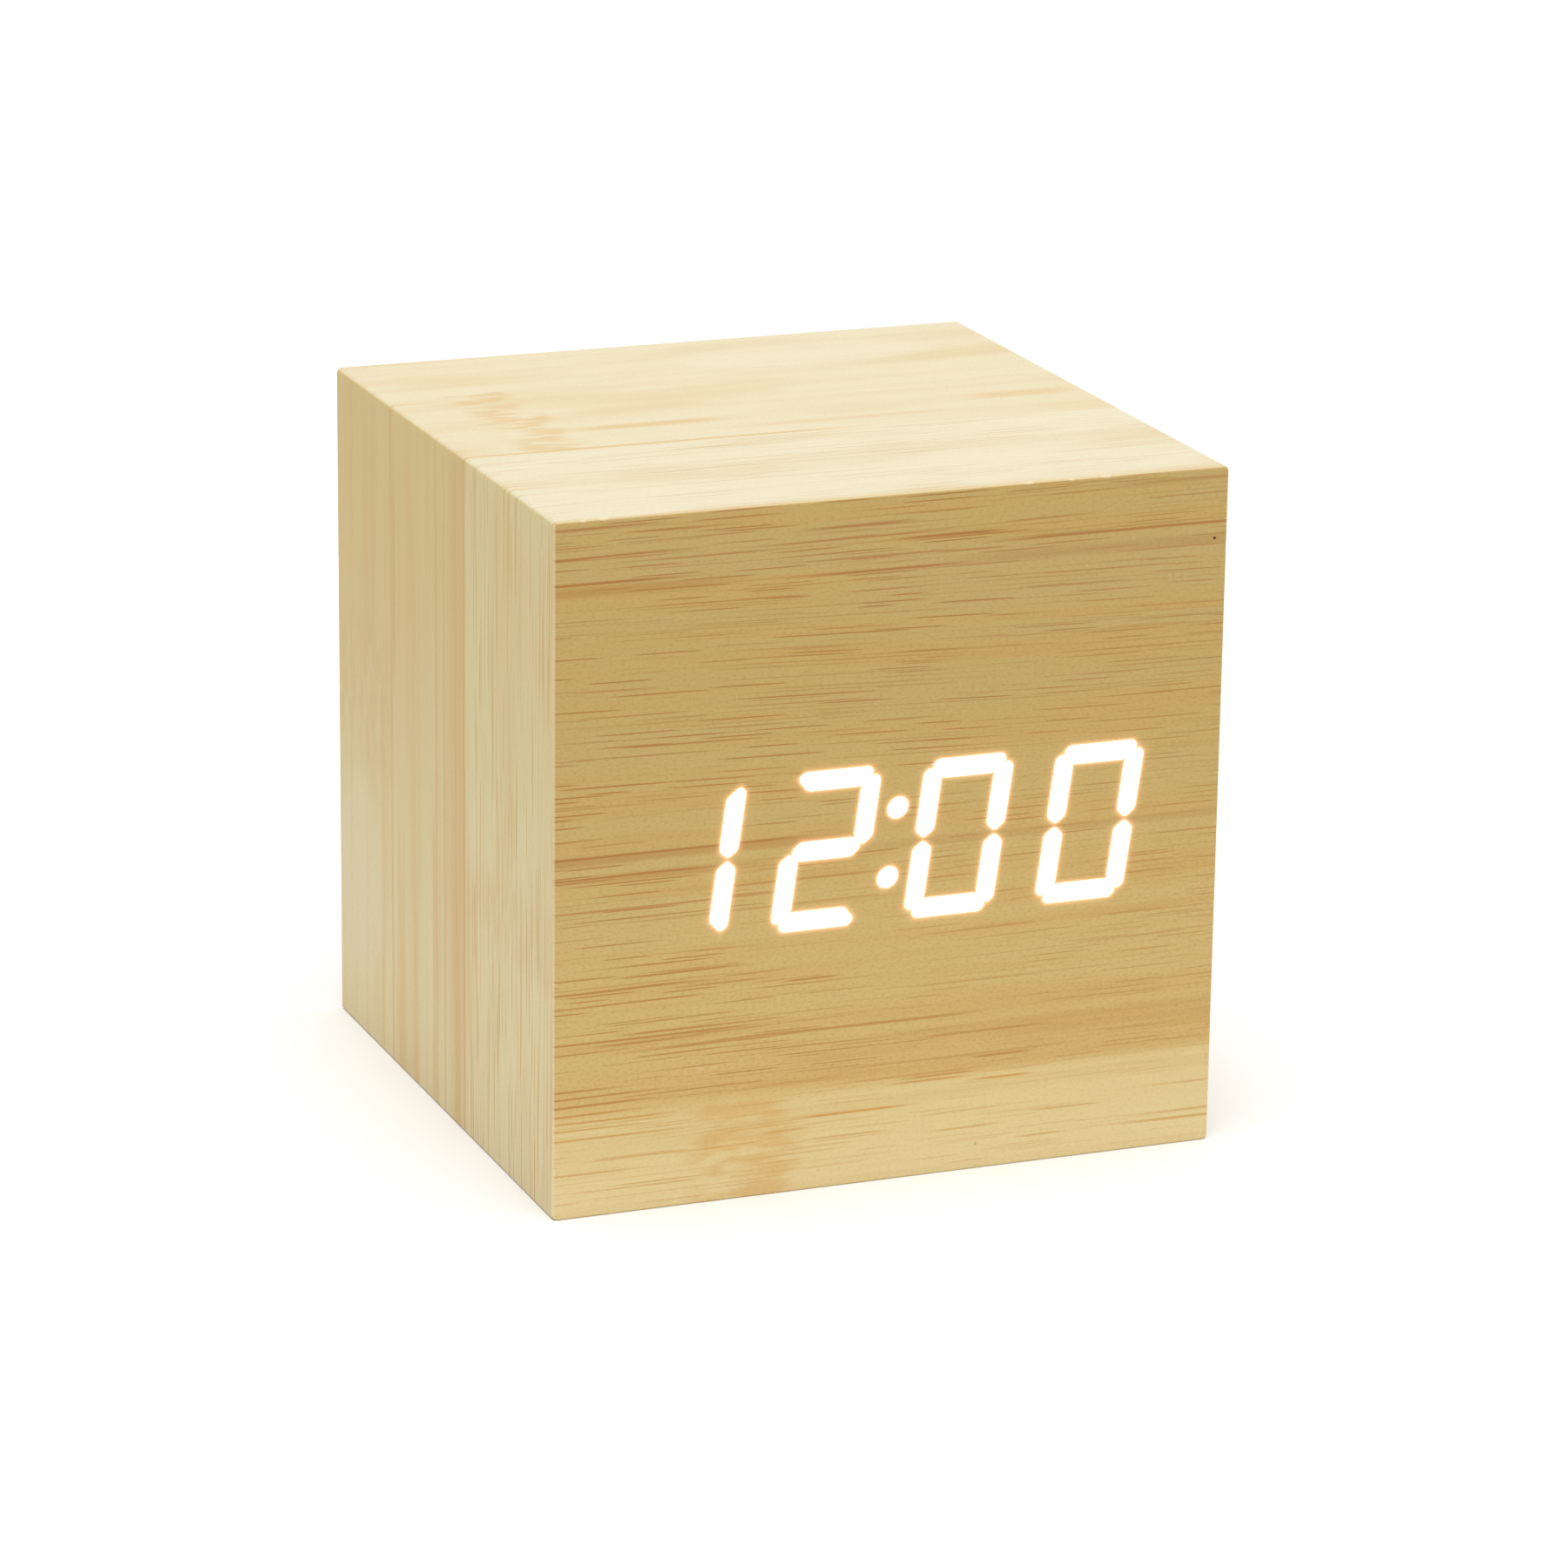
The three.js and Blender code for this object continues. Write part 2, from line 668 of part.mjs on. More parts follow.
function latheY(profile, x, z, sides = 24) {
  const geometry = new THREE.LatheGeometry(profile.map(([r, y]) => new THREE.Vector2(r, y)), sides);
  return solid(geometry.translate(x, 0, z));
}

// Rear control panel: moulded plate with a collar, two bosses, three buttons and the power inlet
function buildRearPanel() {
  const buttonPlaces = buttonNames.map((_, i) => firstButtonX + i * buttonPitch);
  const bossPlaces = [-bossX, bossX];
  const counterbore = panelFace - panelCounterbore;
  const flange = plateY(panelOutline(0), panelBack, panelFace);
  const collar = without(panelOpening(rearBoardIn, panelBack + closeFit, -looseFit), [
    panelOpening(rearBoardIn - 1, panelBack, -looseFit - collarWall),
  ]);
  const bosses = bossPlaces.map((x) => rodY(bossRadius, x, panelZ, switchBase, panelBack + closeFit, 16));
  const inletHalfX = inletWidth / 2 + looseFit;
  const inletHalfZ = inletHeight / 2 + looseFit;
  const bossFloor = panelBack - closeFit;
  const inletSlot = block(
    inletX - inletHalfX, inletX + inletHalfX,
    panelBack - 1, panelFace + 1,
    panelZ - inletHalfZ, panelZ + inletHalfZ);
  place('rear_panel', without(joined([flange, collar, ...bosses]), [
    inletSlot,
    ...buttonPlaces.map((x) => rodY(buttonRadius + looseFit, x, panelZ, panelBack - 1, panelFace + 1)),
    ...bossPlaces.map((x) => rodY(boardScrewRadius + closeFit, x, panelZ, switchBase - 1, bossFloor, 12)),
    ...panelScrewPlaces.map((x) => rodY(screwRadius + closeFit, x, panelZ, panelBack - 1, panelFace, 12)),
    ...panelScrewPlaces.map((x) => rodY(screwHeadRadius + looseFit, x, panelZ, counterbore, panelFace + 1)),
  ]), blackPlastic);
  panelScrewPlaces.forEach((x, i) => {
    const seat = facing('rear', x, counterbore, panelZ);
    place(`panel_screw_${i + 1}`, screw(panelScrewLength, screwRadius, seat), brightSteel);
  });

  const sheetHalfX = panelOpeningWidth / 2;
  const sheetHalfZ = panelOpeningHeight / 2 - looseFit;
  const sheet = plateY(
    roundedRectangle(-sheetHalfX, sheetHalfX, panelZ - sheetHalfZ, panelZ + sheetHalfZ, mainBoardCorner),
    buttonBoardFront, switchBase);
  place('button_board', without(sheet, bossPlaces.map((x) =>
    rodY(boardScrewRadius + closeFit, x, panelZ, buttonBoardFront - 1, switchBase + 1, 12))), circuitGreen);
  bossPlaces.forEach((x, i) => {
    const seat = facing('front', x, buttonBoardFront, panelZ);
    place(`board_screw_${i + 1}`, screw(boardScrewLength, boardScrewRadius, seat), brightSteel);
  });

  buttonPlaces.forEach((x, i) => {
    const half = switchSide / 2;
    place(`switch_${buttonNames[i]}`, without(
      block(x - half, x + half, switchBase, switchTop, panelZ - half, panelZ + half),
      [rodY(plungerRadius + closeFit, x, panelZ, switchTop - switchWell, switchTop + 1)],
    ), blackPlastic);
    const plunger = rodY(plungerRadius, x, panelZ, switchTop - plungerIn, buttonBase, 16);
    place(`plunger_${buttonNames[i]}`, plunger, whitePlastic);
    const neck = buttonBase + buttonFlange;
    const tip = panelFace + buttonStandOff;
    place(`button_${buttonNames[i]}`, latheY([
      [0, buttonBase], [buttonFlangeRadius, buttonBase], [buttonFlangeRadius, neck], [buttonRadius, neck],
      [buttonRadius, tip - softEdge], [buttonRadius - softEdge, tip],
      [buttonRadius - 2 * softEdge, tip], [0, tip - buttonDish],
    ], x, panelZ), blackPlastic);
  });

  // Power inlet: a folded shell with two cut corners, and the tongue inside it
  const inletOutline = (inset) => {
    const halfX = inletWidth / 2 - inset;
    const halfZ = inletHeight / 2 - inset;
    const cut = inletChamfer - inset * 0.6;
    return polygon([
      [-halfX, halfZ], [-halfX, cut - halfZ], [cut - halfX, -halfZ],
      [halfX - cut, -halfZ], [halfX, cut - halfZ], [halfX, halfZ],
    ].map(([x, z]) => [inletX + x, panelZ + z]));
  };
  const mouth = panelFace - hairFit;
  const inletBack = switchBase + inletFloor;
  place('usb_shell', without(plateY(inletOutline(0), switchBase, mouth), [
    plateY(inletOutline(inletWall), inletBack, mouth + 1),
  ]), brightSteel);
  const rootHalf = inletWidth / 2 - inletWall - closeFit;
  const tongueHalf = tongueWidth / 2;
  const rootTop = panelZ + inletHeight / 2 - inletWall - closeFit;
  place('usb_tongue', joined([
    block(inletX - rootHalf, inletX + rootHalf, inletBack, inletBack + 1, panelZ, rootTop),
    block(
      inletX - tongueHalf, inletX + tongueHalf, inletBack + closeFit, mouth - 1, panelZ, panelZ + tongueSheet),
  ]), blackPlastic);
}

// Battery bay: tray, cells, contact plates and cone springs
const cellPlaces = Array.from({ length: cellCount }, (_, i) => ({
  y: (i - (cellCount - 1) / 2) * cellPitch,
  nubSide: i % 2 === 0 ? -1 : 1,
}));
const tabTop = trayTop + tabReach;
const restingEnd = cellLength - (contactInner - hairFit);

function buildTray() {
  const halfLength = bayLength / 2;
  const ears = earPlaces.map(([x, y]) => {
    const side = Math.sign(y);
    const [near, far] = [side * (trayHalfY - closeFit), side * (trayHalfY + earReach)];
    const [y0, y1] = [Math.min(near, far), Math.max(near, far)];
    return block(x - earWidth / 2, x + earWidth / 2, y0, y1, floorZ, floorZ + earSheet);
  });
  const ribLength = halfLength - trayRibStop;
  const ribs = [-0.5, 0.5].map((place) => {
    const [y0, y1] = [place * cellPitch - trayRibWidth / 2, place * cellPitch + trayRibWidth / 2];
    return block(-ribLength, ribLength, y0, y1, cellZ + trayRibRoom, bayRoof);
  });
  const hollow = block(-halfLength, halfLength, -bayDepth / 2, bayDepth / 2, doorLift - 1, bayRoof);
  const shell = without(block(-trayHalfX, trayHalfX, -trayHalfY, trayHalfY, doorLift, trayTop), [hollow]);
  const slotHalf = tabWidth / 2 + closeFit;
  const tabSlots = [[-1, cellPlaces[0].y], [1, cellPlaces[cellCount - 1].y]].map(([side, y]) => {
    const [near, far] = [side * (contactInner - closeFit), side * halfLength];
    return block(Math.min(near, far), Math.max(near, far), y - slotHalf, y + slotHalf, cellZ, trayTop + 1);
  });
  place('battery_tray', without(joined([shell, ...ears, ...ribs]), [
    ...earPlaces.map(([x, y]) => rodZ(screwRadius + closeFit, x, y, floorZ - 1, floorZ + earSheet + 1, 12)),
    ...tabSlots,
    rodX(hingePin + hingePlay, hingeY, hingeZ, -trayHalfX - 1, trayHalfX + 1, 16),
  ]), blackPlastic);
  earPlaces.forEach(([x, y], i) => {
    const seat = facing('up', x, y, floorZ + earSheet);
    place(`tray_screw_${i + 1}`, screw(trayScrewLength, screwRadius, seat), brightSteel);
  });
}

function buildCells() {
  const shoulder = cellLength - nubLength;
  const profile = [
    [0, 0], [cellRadius - 1.2, 0], [cellRadius - 1, 0.25], [cellRadius - 0.4, 0.25], [cellRadius, 0.7],
    [cellRadius, shoulder - 0.9], [cellRadius - 0.5, shoulder - 0.3], [cellRadius - 1, shoulder],
    [nubRadius, shoulder], [nubRadius, cellLength - 0.2], [nubRadius - 0.2, cellLength], [0, cellLength],
  ].map(([r, y]) => new THREE.Vector2(r, y));
  cellPlaces.forEach(({ y, nubSide }, i) => {
    const geometry = new THREE.LatheGeometry(profile, 28);
    geometry.rotateZ(-nubSide * Math.PI / 2);
    geometry.translate(-nubSide * restingEnd, y, cellZ);
    place(`battery_cell_${i + 1}`, solid(geometry), cellSleeve);
  });
}

// One contact plate reaching over the given cells, with a solder tab through the roof where it ends the row
function contactPlate(side, firstY, lastY, tabY) {
  const [near, far] = [side * contactInner, side * (bayLength / 2 - hairFit)];
  const [x0, x1] = [Math.min(near, far), Math.max(near, far)];
  const [y0, y1] = [firstY - contactWidth / 2, lastY + contactWidth / 2];
  const plate = block(x0, x1, y0, y1, cellZ - contactHeight / 2, cellZ + contactHeight / 2);
  if (tabY === null) return plate;
  return plate.add(block(x0, x1, tabY - tabWidth / 2, tabY + tabWidth / 2, cellZ, tabTop));
}

// Centre line of a cone spring pressed between a plate and the flat end of a cell
class ConeSpring extends THREE.Curve {
  constructor(side, y) {
    super();
    this.side = side;
    this.y = y;
  }

  getPoint(t, target = new THREE.Vector3()) {
    const angle = t * springTurns * Math.PI * 2;
    const radius = THREE.MathUtils.lerp(springBase, springTip, t);
    const plateEnd = contactInner - closeFit - springWire;
    const cellEnd = restingEnd + hairFit + springWire;
    const x = this.side * THREE.MathUtils.lerp(plateEnd, cellEnd, t);
    return target.set(x, this.y + radius * Math.cos(angle), cellZ + radius * Math.sin(angle));
  }
}

function buildContacts() {
  const [first, middle, last] = cellPlaces.map((cell) => cell.y);
  place('contact_positive', contactPlate(-1, first, first, first), brassPlate);
  place('contact_negative', contactPlate(1, last, last, last), brassPlate);
  place('contact_link_1', contactPlate(1, first, middle, null), brassPlate);
  place('contact_link_2', contactPlate(-1, middle, last, null), brassPlate);

  const stepsPerTurn = 8;
  const wireSides = 5;
  const wire = polygon(Array.from({ length: wireSides }, (_, i) => {
    const angle = (i / wireSides) * Math.PI * 2;
    return [springWire * Math.cos(angle), springWire * Math.sin(angle)];
  }));
  cellPlaces.forEach(({ y, nubSide }, i) => {
    const path = new ConeSpring(-nubSide, y);
    const geometry = new THREE.ExtrudeGeometry(wire, {
      steps: stepsPerTurn * springTurns,
      extrudePath: path,
      bevelEnabled: false,
    });
    place(`contact_spring_${i + 1}`, solid(geometry), springSteel);
  });
  const points = new ConeSpring(1, 0).getPoints(stepsPerTurn * springTurns);
  let least = Infinity;
  points.forEach((a, i) => points.slice(i + stepsPerTurn - 2).forEach((b) => {
    least = Math.min(least, a.distanceTo(b) - 2 * springWire);
  }));
  console.log(`least gap between spring turns ${least.toFixed(2)} mm`);
}

// Hinged battery door with pins in the tray's walls, ribs between the cells and a nail notch
function buildDoor() {
  const halfX = bayLength / 2 - looseFit;
  const farEdge = bayDepth / 2 - looseFit;
  const section = new THREE.Shape();
  section.moveTo(hingeY, doorLift);
  section.lineTo(farEdge, doorLift);
  section.lineTo(farEdge, doorTop);
  section.lineTo(hingeY, doorTop);
  section.absarc(hingeY, hingeZ, hingeRadius, Math.PI / 2, Math.PI * 1.5);
  const ribLength = halfX - doorRibStop;
  const ribs = [-0.5, 0.5].map((place) => {
    const [y0, y1] = [place * cellPitch - doorRibWidth / 2, place * cellPitch + doorRibWidth / 2];
    return block(-ribLength, ribLength, y0, y1, doorTop - closeFit, doorTop + doorRibHeight);
  });
  const ridge = rodX(snapRidge, farEdge, hingeZ, -snapLength / 2, snapLength / 2, 8);
  const pinEnd = bayLength / 2 + trayWall * 0.7;
  const pin = rodX(hingePin, hingeY, hingeZ, -pinEnd, pinEnd, 16);
  const notch = rodZ(notchRadius, 0, farEdge + notchRadius - notchReach, doorLift - 1, hingeZ);
  const leaf = prismX(section, -halfX, halfX);
  place('battery_door', without(joined([leaf, ...ribs, ridge, pin]), [notch]), blackPlastic);
}

// Wires between the battery bay, the main board and the button board
function buildWires() {
  const round = new THREE.Shape().absarc(0, 0, wireRadius, 0, Math.PI * 2);
  const [ribbonHalf, sheetHalf] = [ribbonWidth / 2, ribbonSheet / 2];
  const flat = roundedRectangle(-ribbonHalf, ribbonHalf, -sheetHalf, sheetHalf, ribbonSheet / 3);
  const along = (shape, start, leave, end, arrive) => {
    const path = new THREE.CubicBezierCurve3(start, start.clone().add(leave), end.clone().add(arrive), end);
    return solid(new THREE.ExtrudeGeometry(shape, {
      steps: 18, extrudePath: path, bevelEnabled: false, curveSegments: 4,
    }));
  };
  const tabX = contactInner + contactSheet / 2;
  const tabZ = tabTop + looseFit;
  const boardY = mainBack + looseFit;
  const leadX = mainBoardWidth / 2 - leadInset;
  const at = (x, y, z) => new THREE.Vector3(x, y, z);
  place('lead_red', along(
    round,
    at(-tabX, cellPlaces[0].y, tabZ),
    at(0, 0, redLeadBend),
    at(-leadX, boardY, displayZ - redLeadDrop),
    at(0, redLeadBend, 0),
  ), redSleeve);
  place('lead_black', along(
    round,
    at(tabX, cellPlaces[cellCount - 1].y, tabZ),
    at(0, 0, blackLeadRise),
    at(leadX, boardY, displayZ - blackLeadDrop),
    at(0, blackLeadBend, 0),
  ), blackSleeve);
  place('button_cable', along(
    flat,
    at(ribbonX, boardY, displayZ - ribbonDrop),
    at(0, ribbonBend, 0),
    at(ribbonX, buttonBoardFront - looseFit, panelZ - ribbonPanelDrop),
    at(0, -ribbonBend, 0),
  ), greySleeve);
}

buildFilm();
buildCase();
buildDisplay();
buildMainBoard();
buildRearPanel();
buildTray();
buildCells();
buildContacts();
buildDoor();
buildWires();

export default clock;
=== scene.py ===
"""Looks of the cube-shaped table clock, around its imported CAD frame. Metres, +Z up, display to -Y."""

import json
import math

import bpy
from mathutils import Matrix, Vector


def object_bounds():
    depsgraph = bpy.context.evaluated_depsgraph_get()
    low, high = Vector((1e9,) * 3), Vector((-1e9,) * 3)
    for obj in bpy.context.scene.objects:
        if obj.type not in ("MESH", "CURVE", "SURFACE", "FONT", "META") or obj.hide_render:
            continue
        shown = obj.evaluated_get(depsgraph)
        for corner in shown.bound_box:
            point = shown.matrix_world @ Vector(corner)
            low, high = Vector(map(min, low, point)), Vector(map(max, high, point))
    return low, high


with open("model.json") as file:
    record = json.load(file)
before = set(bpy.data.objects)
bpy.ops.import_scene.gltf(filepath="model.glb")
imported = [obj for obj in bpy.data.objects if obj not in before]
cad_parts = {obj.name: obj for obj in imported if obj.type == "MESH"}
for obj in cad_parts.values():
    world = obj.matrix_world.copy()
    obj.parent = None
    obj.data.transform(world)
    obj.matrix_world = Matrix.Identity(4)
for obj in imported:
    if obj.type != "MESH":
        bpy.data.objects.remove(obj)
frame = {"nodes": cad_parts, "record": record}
cad_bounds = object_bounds()

# The print and the display are laid out in millimetres
MILLI = 0.001
WIDTH, DEPTH, HEIGHT = (round((high - low) / MILLI, 3) for low, high in zip(*cad_bounds))

# Display segments: half width, rounding of the points and of the corners beside them, and how far
# the points lie aside and reach out
SEGMENT_HALF = 0.9
TIP_ROUNDING = 0.3
CORNER_ROUNDING = 0.4
TIP_SHIFT = 0.3
TIP_REACH = 0.1

# Seven-segment figures: their sizes, each segment's place in half digits and whether it is upright,
# and the segments that each figure lights
DIGIT_PITCH = 12.7
DIGIT_HALF_WIDTH = 3.41
DIGIT_HALF_HEIGHT = 6.39
DIGIT_SLANT = math.radians(7.85)
DISPLAY_Z = HEIGHT / 2
COLON_HEIGHT = 3.18
COLON_RADIUS = 1.0
SEGMENTS = {
    "a": (0, 1, False), "g": (0, 0, False), "d": (0, -1, False),
    "b": (1, 0.5, True), "c": (1, -0.5, True), "e": (-1, -0.5, True), "f": (-1, 0.5, True),
}
LIT = {"1": "bc", "2": "abged", "0": "abcdef"}

# Depths of the relief on print, moulded skin and fibreboard, in metres
PRINT_RELIEF = 0.03 * MILLI
SKIN_RELIEF = 0.04 * MILLI
BOARD_RELIEF = 0.1 * MILLI

# Dot screen of the print, and its rows of dashes: length, pitch, thickness and strength
SCREEN_PITCH = 0.21
FIBRE_ROWS = [(9.5, 0.52, 0.15, 1.0), (16.0, 0.85, 0.18, 0.95), (34.0, 0.45, 0.14, 0.5)]


class Graph:
    """Short names for the nodes that the materials, modifiers and surroundings use."""

    def __init__(self, tree):
        self.tree = tree

    def node(self, kind, **settings):
        made = self.tree.nodes.new(kind)
        for name, value in settings.items():
            setattr(made, name, value)
        return made

    def feed(self, socket, value):
        if isinstance(value, bpy.types.NodeSocket):
            self.tree.links.new(value, socket)
        else:
            socket.default_value = value

    def math(self, operation, *values):
        made = self.node("ShaderNodeMath", operation=operation)
        for socket, value in zip(made.inputs, values):
            self.feed(socket, value)
        return made.outputs[0]

    def minus(self, first, second):
        return self.math("SUBTRACT", first, second)

    def divide(self, first, second):
        return self.math("DIVIDE", first, second)

    def scaled(self, value, factor, start):
        """The value times the factor, counted from start."""
        return self.math("MULTIPLY_ADD", value, factor, start)

    def gap(self, first, second):
        """How far apart two values are."""
        return self.math("ABSOLUTE", self.minus(first, second))

    def add(self, *values):
        total = values[0]
        for value in values[1:]:
            total = self.math("ADD", total, value)
        return total

    def times(self, *values):
        total = values[0]
        for value in values[1:]:
            total = self.math("MULTIPLY", total, value)
        return total

    def most(self, *values):
        top = values[0]
        for value in values[1:]:
            top = self.math("MAXIMUM", top, value)
        return top

    def smooth(self, value, low, high, start=0.0, end=1.0):
        made = self.node("ShaderNodeMapRange", interpolation_type="SMOOTHSTEP")
        for socket, given in zip(made.inputs, (value, low, high, start, end)):
            self.feed(socket, given)
        return made.outputs[0]

    def near(self, value, centre, half, soft):
        """1 where value is within half of centre, fading to 0 over soft."""
        return self.smooth(self.gap(value, centre), half, half + soft, 1.0, 0.0)

    def blend(self, factor, first, second, blend_type="MIX"):
        made = self.node("ShaderNodeMix", data_type="RGBA", blend_type=blend_type)
        for place, value in ((0, factor), (6, first), (7, second)):
            self.feed(made.inputs[place], value)
        return made.outputs[2]

    def vector(self, x, y, z=0.0):
        made = self.node("ShaderNodeCombineXYZ")
        for socket, value in zip(made.inputs, (x, y, z)):
            self.feed(socket, value)
        return made.outputs[0]

    def noise(self, vector, scale=1.0, detail=2.0, roughness=0.5):
        made = self.node("ShaderNodeTexNoise")
        self.feed(made.inputs["Vector"], vector)
        for name, value in (("Scale", scale), ("Detail", detail), ("Roughness", roughness)):
            self.feed(made.inputs[name], value)
        return made.outputs["Fac"]

    def grain(self, along, across, length, breadth, seed, **settings):
        """Noise drawn out along the grain, its blotches of about this length and breadth."""
        place = self.vector(self.times(along, 1 / length), self.times(across, 1 / breadth), seed)
        return self.noise(place, **settings)

    def chances(self, vector):
        """Three chance values between 0 and 1 for a whole-number place."""
        made = self.node("ShaderNodeTexWhiteNoise", noise_dimensions="2D")
        self.feed(made.inputs["Vector"], vector)
        parts = self.node("ShaderNodeSeparateColor")
        self.tree.links.new(made.outputs["Color"], parts.inputs[0])
        return parts.outputs

    def spot(self, x, z, centre_x, centre_z, half_x, half_z):
        """1 inside a small soft ellipse."""
        across = self.times(self.minus(x, centre_x), 1 / half_x)
        up = self.times(self.minus(z, centre_z), 1 / half_z)
        return self.smooth(self.add(self.times(across, across), self.times(up, up)), 0.4, 1.0, 1.0, 0.0)

    def place(self):
        """X, Y and Z on the object in millimetres."""
        coordinates = self.node("ShaderNodeTexCoord")
        parts = self.node("ShaderNodeSeparateXYZ")
        self.tree.links.new(coordinates.outputs["Object"], parts.inputs[0])
        return [self.times(part, 1.0 / MILLI) for part in parts.outputs]

    def group(self, tree, **values):
        made = self.node("ShaderNodeGroup")
        made.node_tree = tree
        for name, value in values.items():
            self.feed(made.inputs[name.replace("_", " ")], value)
        return made.outputs

    def bump(self, height, strength, distance):
        made = self.node("ShaderNodeBump")
        self.feed(made.inputs["Height"], height)
        self.feed(made.inputs["Strength"], strength)
        self.feed(made.inputs["Distance"], distance)
        return made.outputs["Normal"]


def new_group(name, inputs, outputs):
    """An empty node group with named number sockets, its graph, and its way in and out."""
    tree = bpy.data.node_groups.new(name, "ShaderNodeTree")
    for socket in inputs:
        tree.interface.new_socket(socket, in_out="INPUT", socket_type="NodeSocketFloat")
    for socket in outputs:
        tree.interface.new_socket(socket, in_out="OUTPUT", socket_type="NodeSocketFloat")
    graph = Graph(tree)
    return tree, graph, graph.node("NodeGroupInput").outputs, graph.node("NodeGroupOutput").inputs


def new_material(name):
    """A material with one principled shader, and its graph."""
    material = bpy.data.materials.new(name)
    material.use_nodes = True
    return material, Graph(material.node_tree), material.node_tree.nodes["Principled BSDF"]


# Shared print effects


def make_dash_rows():
    """Rows of short lines along the grain, each row cut into lines at chance places."""
    tree, g, given, wanted = new_group(
        "dash_rows", ["Along", "Across", "Length", "Pitch", "Thickness", "Density"], ["Mask"])
    rows = g.divide(given["Across"], given["Pitch"])
    row = g.math("FLOOR", rows)
    start = g.chances(g.vector(row, 0.5))[0]
    steps = g.scaled(start, 9.0, g.divide(given["Along"], given["Length"]))
    chance, lift, reach = g.chances(g.vector(row, g.math("FLOOR", steps)))[:3]
    taper = g.math("SINE", g.times(g.math("FRACT", steps), math.pi))

    level = g.scaled(g.minus(lift, 0.5), 0.6, 0.5)
    gap = g.times(g.gap(g.math("FRACT", rows), level), given["Pitch"])
    half = g.times(given["Thickness"], g.scaled(taper, 0.3, 0.2))
    body = g.smooth(g.divide(gap, half), 0.35, 1.0, 1.0, 0.0)
    ends = g.smooth(taper, g.times(reach, 0.7), g.scaled(reach, 0.5, 0.5))
    rest = g.minus(1.0, given["Density"])
    kept = g.smooth(chance, rest, g.add(rest, 0.6))
    g.feed(wanted["Mask"], g.times(body, ends, kept))
    return tree


def make_fibres():
    """Marks of printed bamboo: dashes, streaks, broad bands, fine lines, a dot screen and its grain."""
    tree, g, given, wanted = new_group(
        "bamboo_fibres", ["Along", "Across", "Shift", "Crowd"],
        ["Dashes", "Streaks", "Bands", "Lines", "Screen", "Grain"])
    along = g.add(given["Along"], given["Shift"])
    sway = g.grain(along, given["Across"], 45, 16, given["Shift"], detail=1.0)
    across = g.scaled(sway, 0.9, given["Across"])

    patch = g.grain(along, across, 20, 4, 3.0, detail=1.0)
    density = g.add(g.smooth(patch, 0.3, 0.62, 0.25, 0.75), given["Crowd"])
    dashes = 0.0
    for length, pitch, thickness, strength in FIBRE_ROWS:
        rows = g.group(
            DASH_ROWS, Along=along, Across=across, Density=density,
            Length=length, Pitch=pitch, Thickness=thickness)
        dashes = g.most(dashes, g.times(rows["Mask"], strength))
    g.feed(wanted["Dashes"], dashes)
    wide = g.group(
        DASH_ROWS, Along=along, Across=across, Density=0.6, Length=38.0, Pitch=1.9, Thickness=1.1)
    g.feed(wanted["Streaks"], wide["Mask"])

    band = g.grain(along, across, 60, 2.2, 11.0, detail=2.0)
    g.feed(wanted["Bands"], g.smooth(band, 0.42, 0.72))
    line = g.grain(along, across, 7, 0.2, 5.0, detail=2.0, roughness=0.6)
    g.feed(wanted["Lines"], line)

    turn = 2 * math.pi / SCREEN_PITCH * math.sqrt(0.5)
    rising = g.math("SINE", g.times(g.add(given["Along"], given["Across"]), turn))
    falling = g.math("SINE", g.times(g.minus(given["Along"], given["Across"]), turn))
    g.feed(wanted["Screen"], g.scaled(g.times(rising, falling), 0.5, 0.5))
    g.feed(wanted["Grain"], g.grain(along, across, 0.4, 0.25, 7.0, detail=1.0))
    return tree


def make_printed_line():
    """One long mark that follows the grain, fading out at both ends."""
    tree, g, given, wanted = new_group(
        "printed_line",
        ["Along", "Across", "Centre", "Half Width", "Middle", "Half Length", "Fade"], ["Mask"])
    gap = g.gap(given["Across"], given["Centre"])
    body = g.smooth(g.divide(gap, given["Half Width"]), 0.2, 1.0, 1.0, 0.0)
    reach = g.gap(given["Along"], given["Middle"])
    full = g.minus(given["Half Length"], given["Fade"])
    g.feed(wanted["Mask"], g.times(body, g.smooth(reach, full, given["Half Length"], 1.0, 0.0)))
    return tree


def make_knuckle():
    """The blotchy band where a bamboo cane had a joint."""
    tree, g, given, wanted = new_group(
        "bamboo_knuckle", ["Along", "Across", "Centre", "Half Length", "From", "To"], ["Mask"])
    bend = g.grain(given["Along"], given["Across"], 6, 4, 2.0, detail=3.0)
    along = g.scaled(g.minus(bend, 0.5), 7.0, given["Along"])
    gap = g.gap(along, given["Centre"])
    body = g.smooth(g.divide(gap, given["Half Length"]), 0.4, 1.0, 1.0, 0.0)
    blotch = g.grain(given["Along"], given["Across"], 4.5, 1.3, 9.0, detail=3.0)
    low = g.smooth(given["Across"], given["From"], g.add(given["From"], 0.6))
    high = g.smooth(given["Across"], g.minus(given["To"], 0.6), given["To"], 1.0, 0.0)
    g.feed(wanted["Mask"], g.times(body, low, high, g.smooth(blotch, 0.36, 0.6)))
    return tree


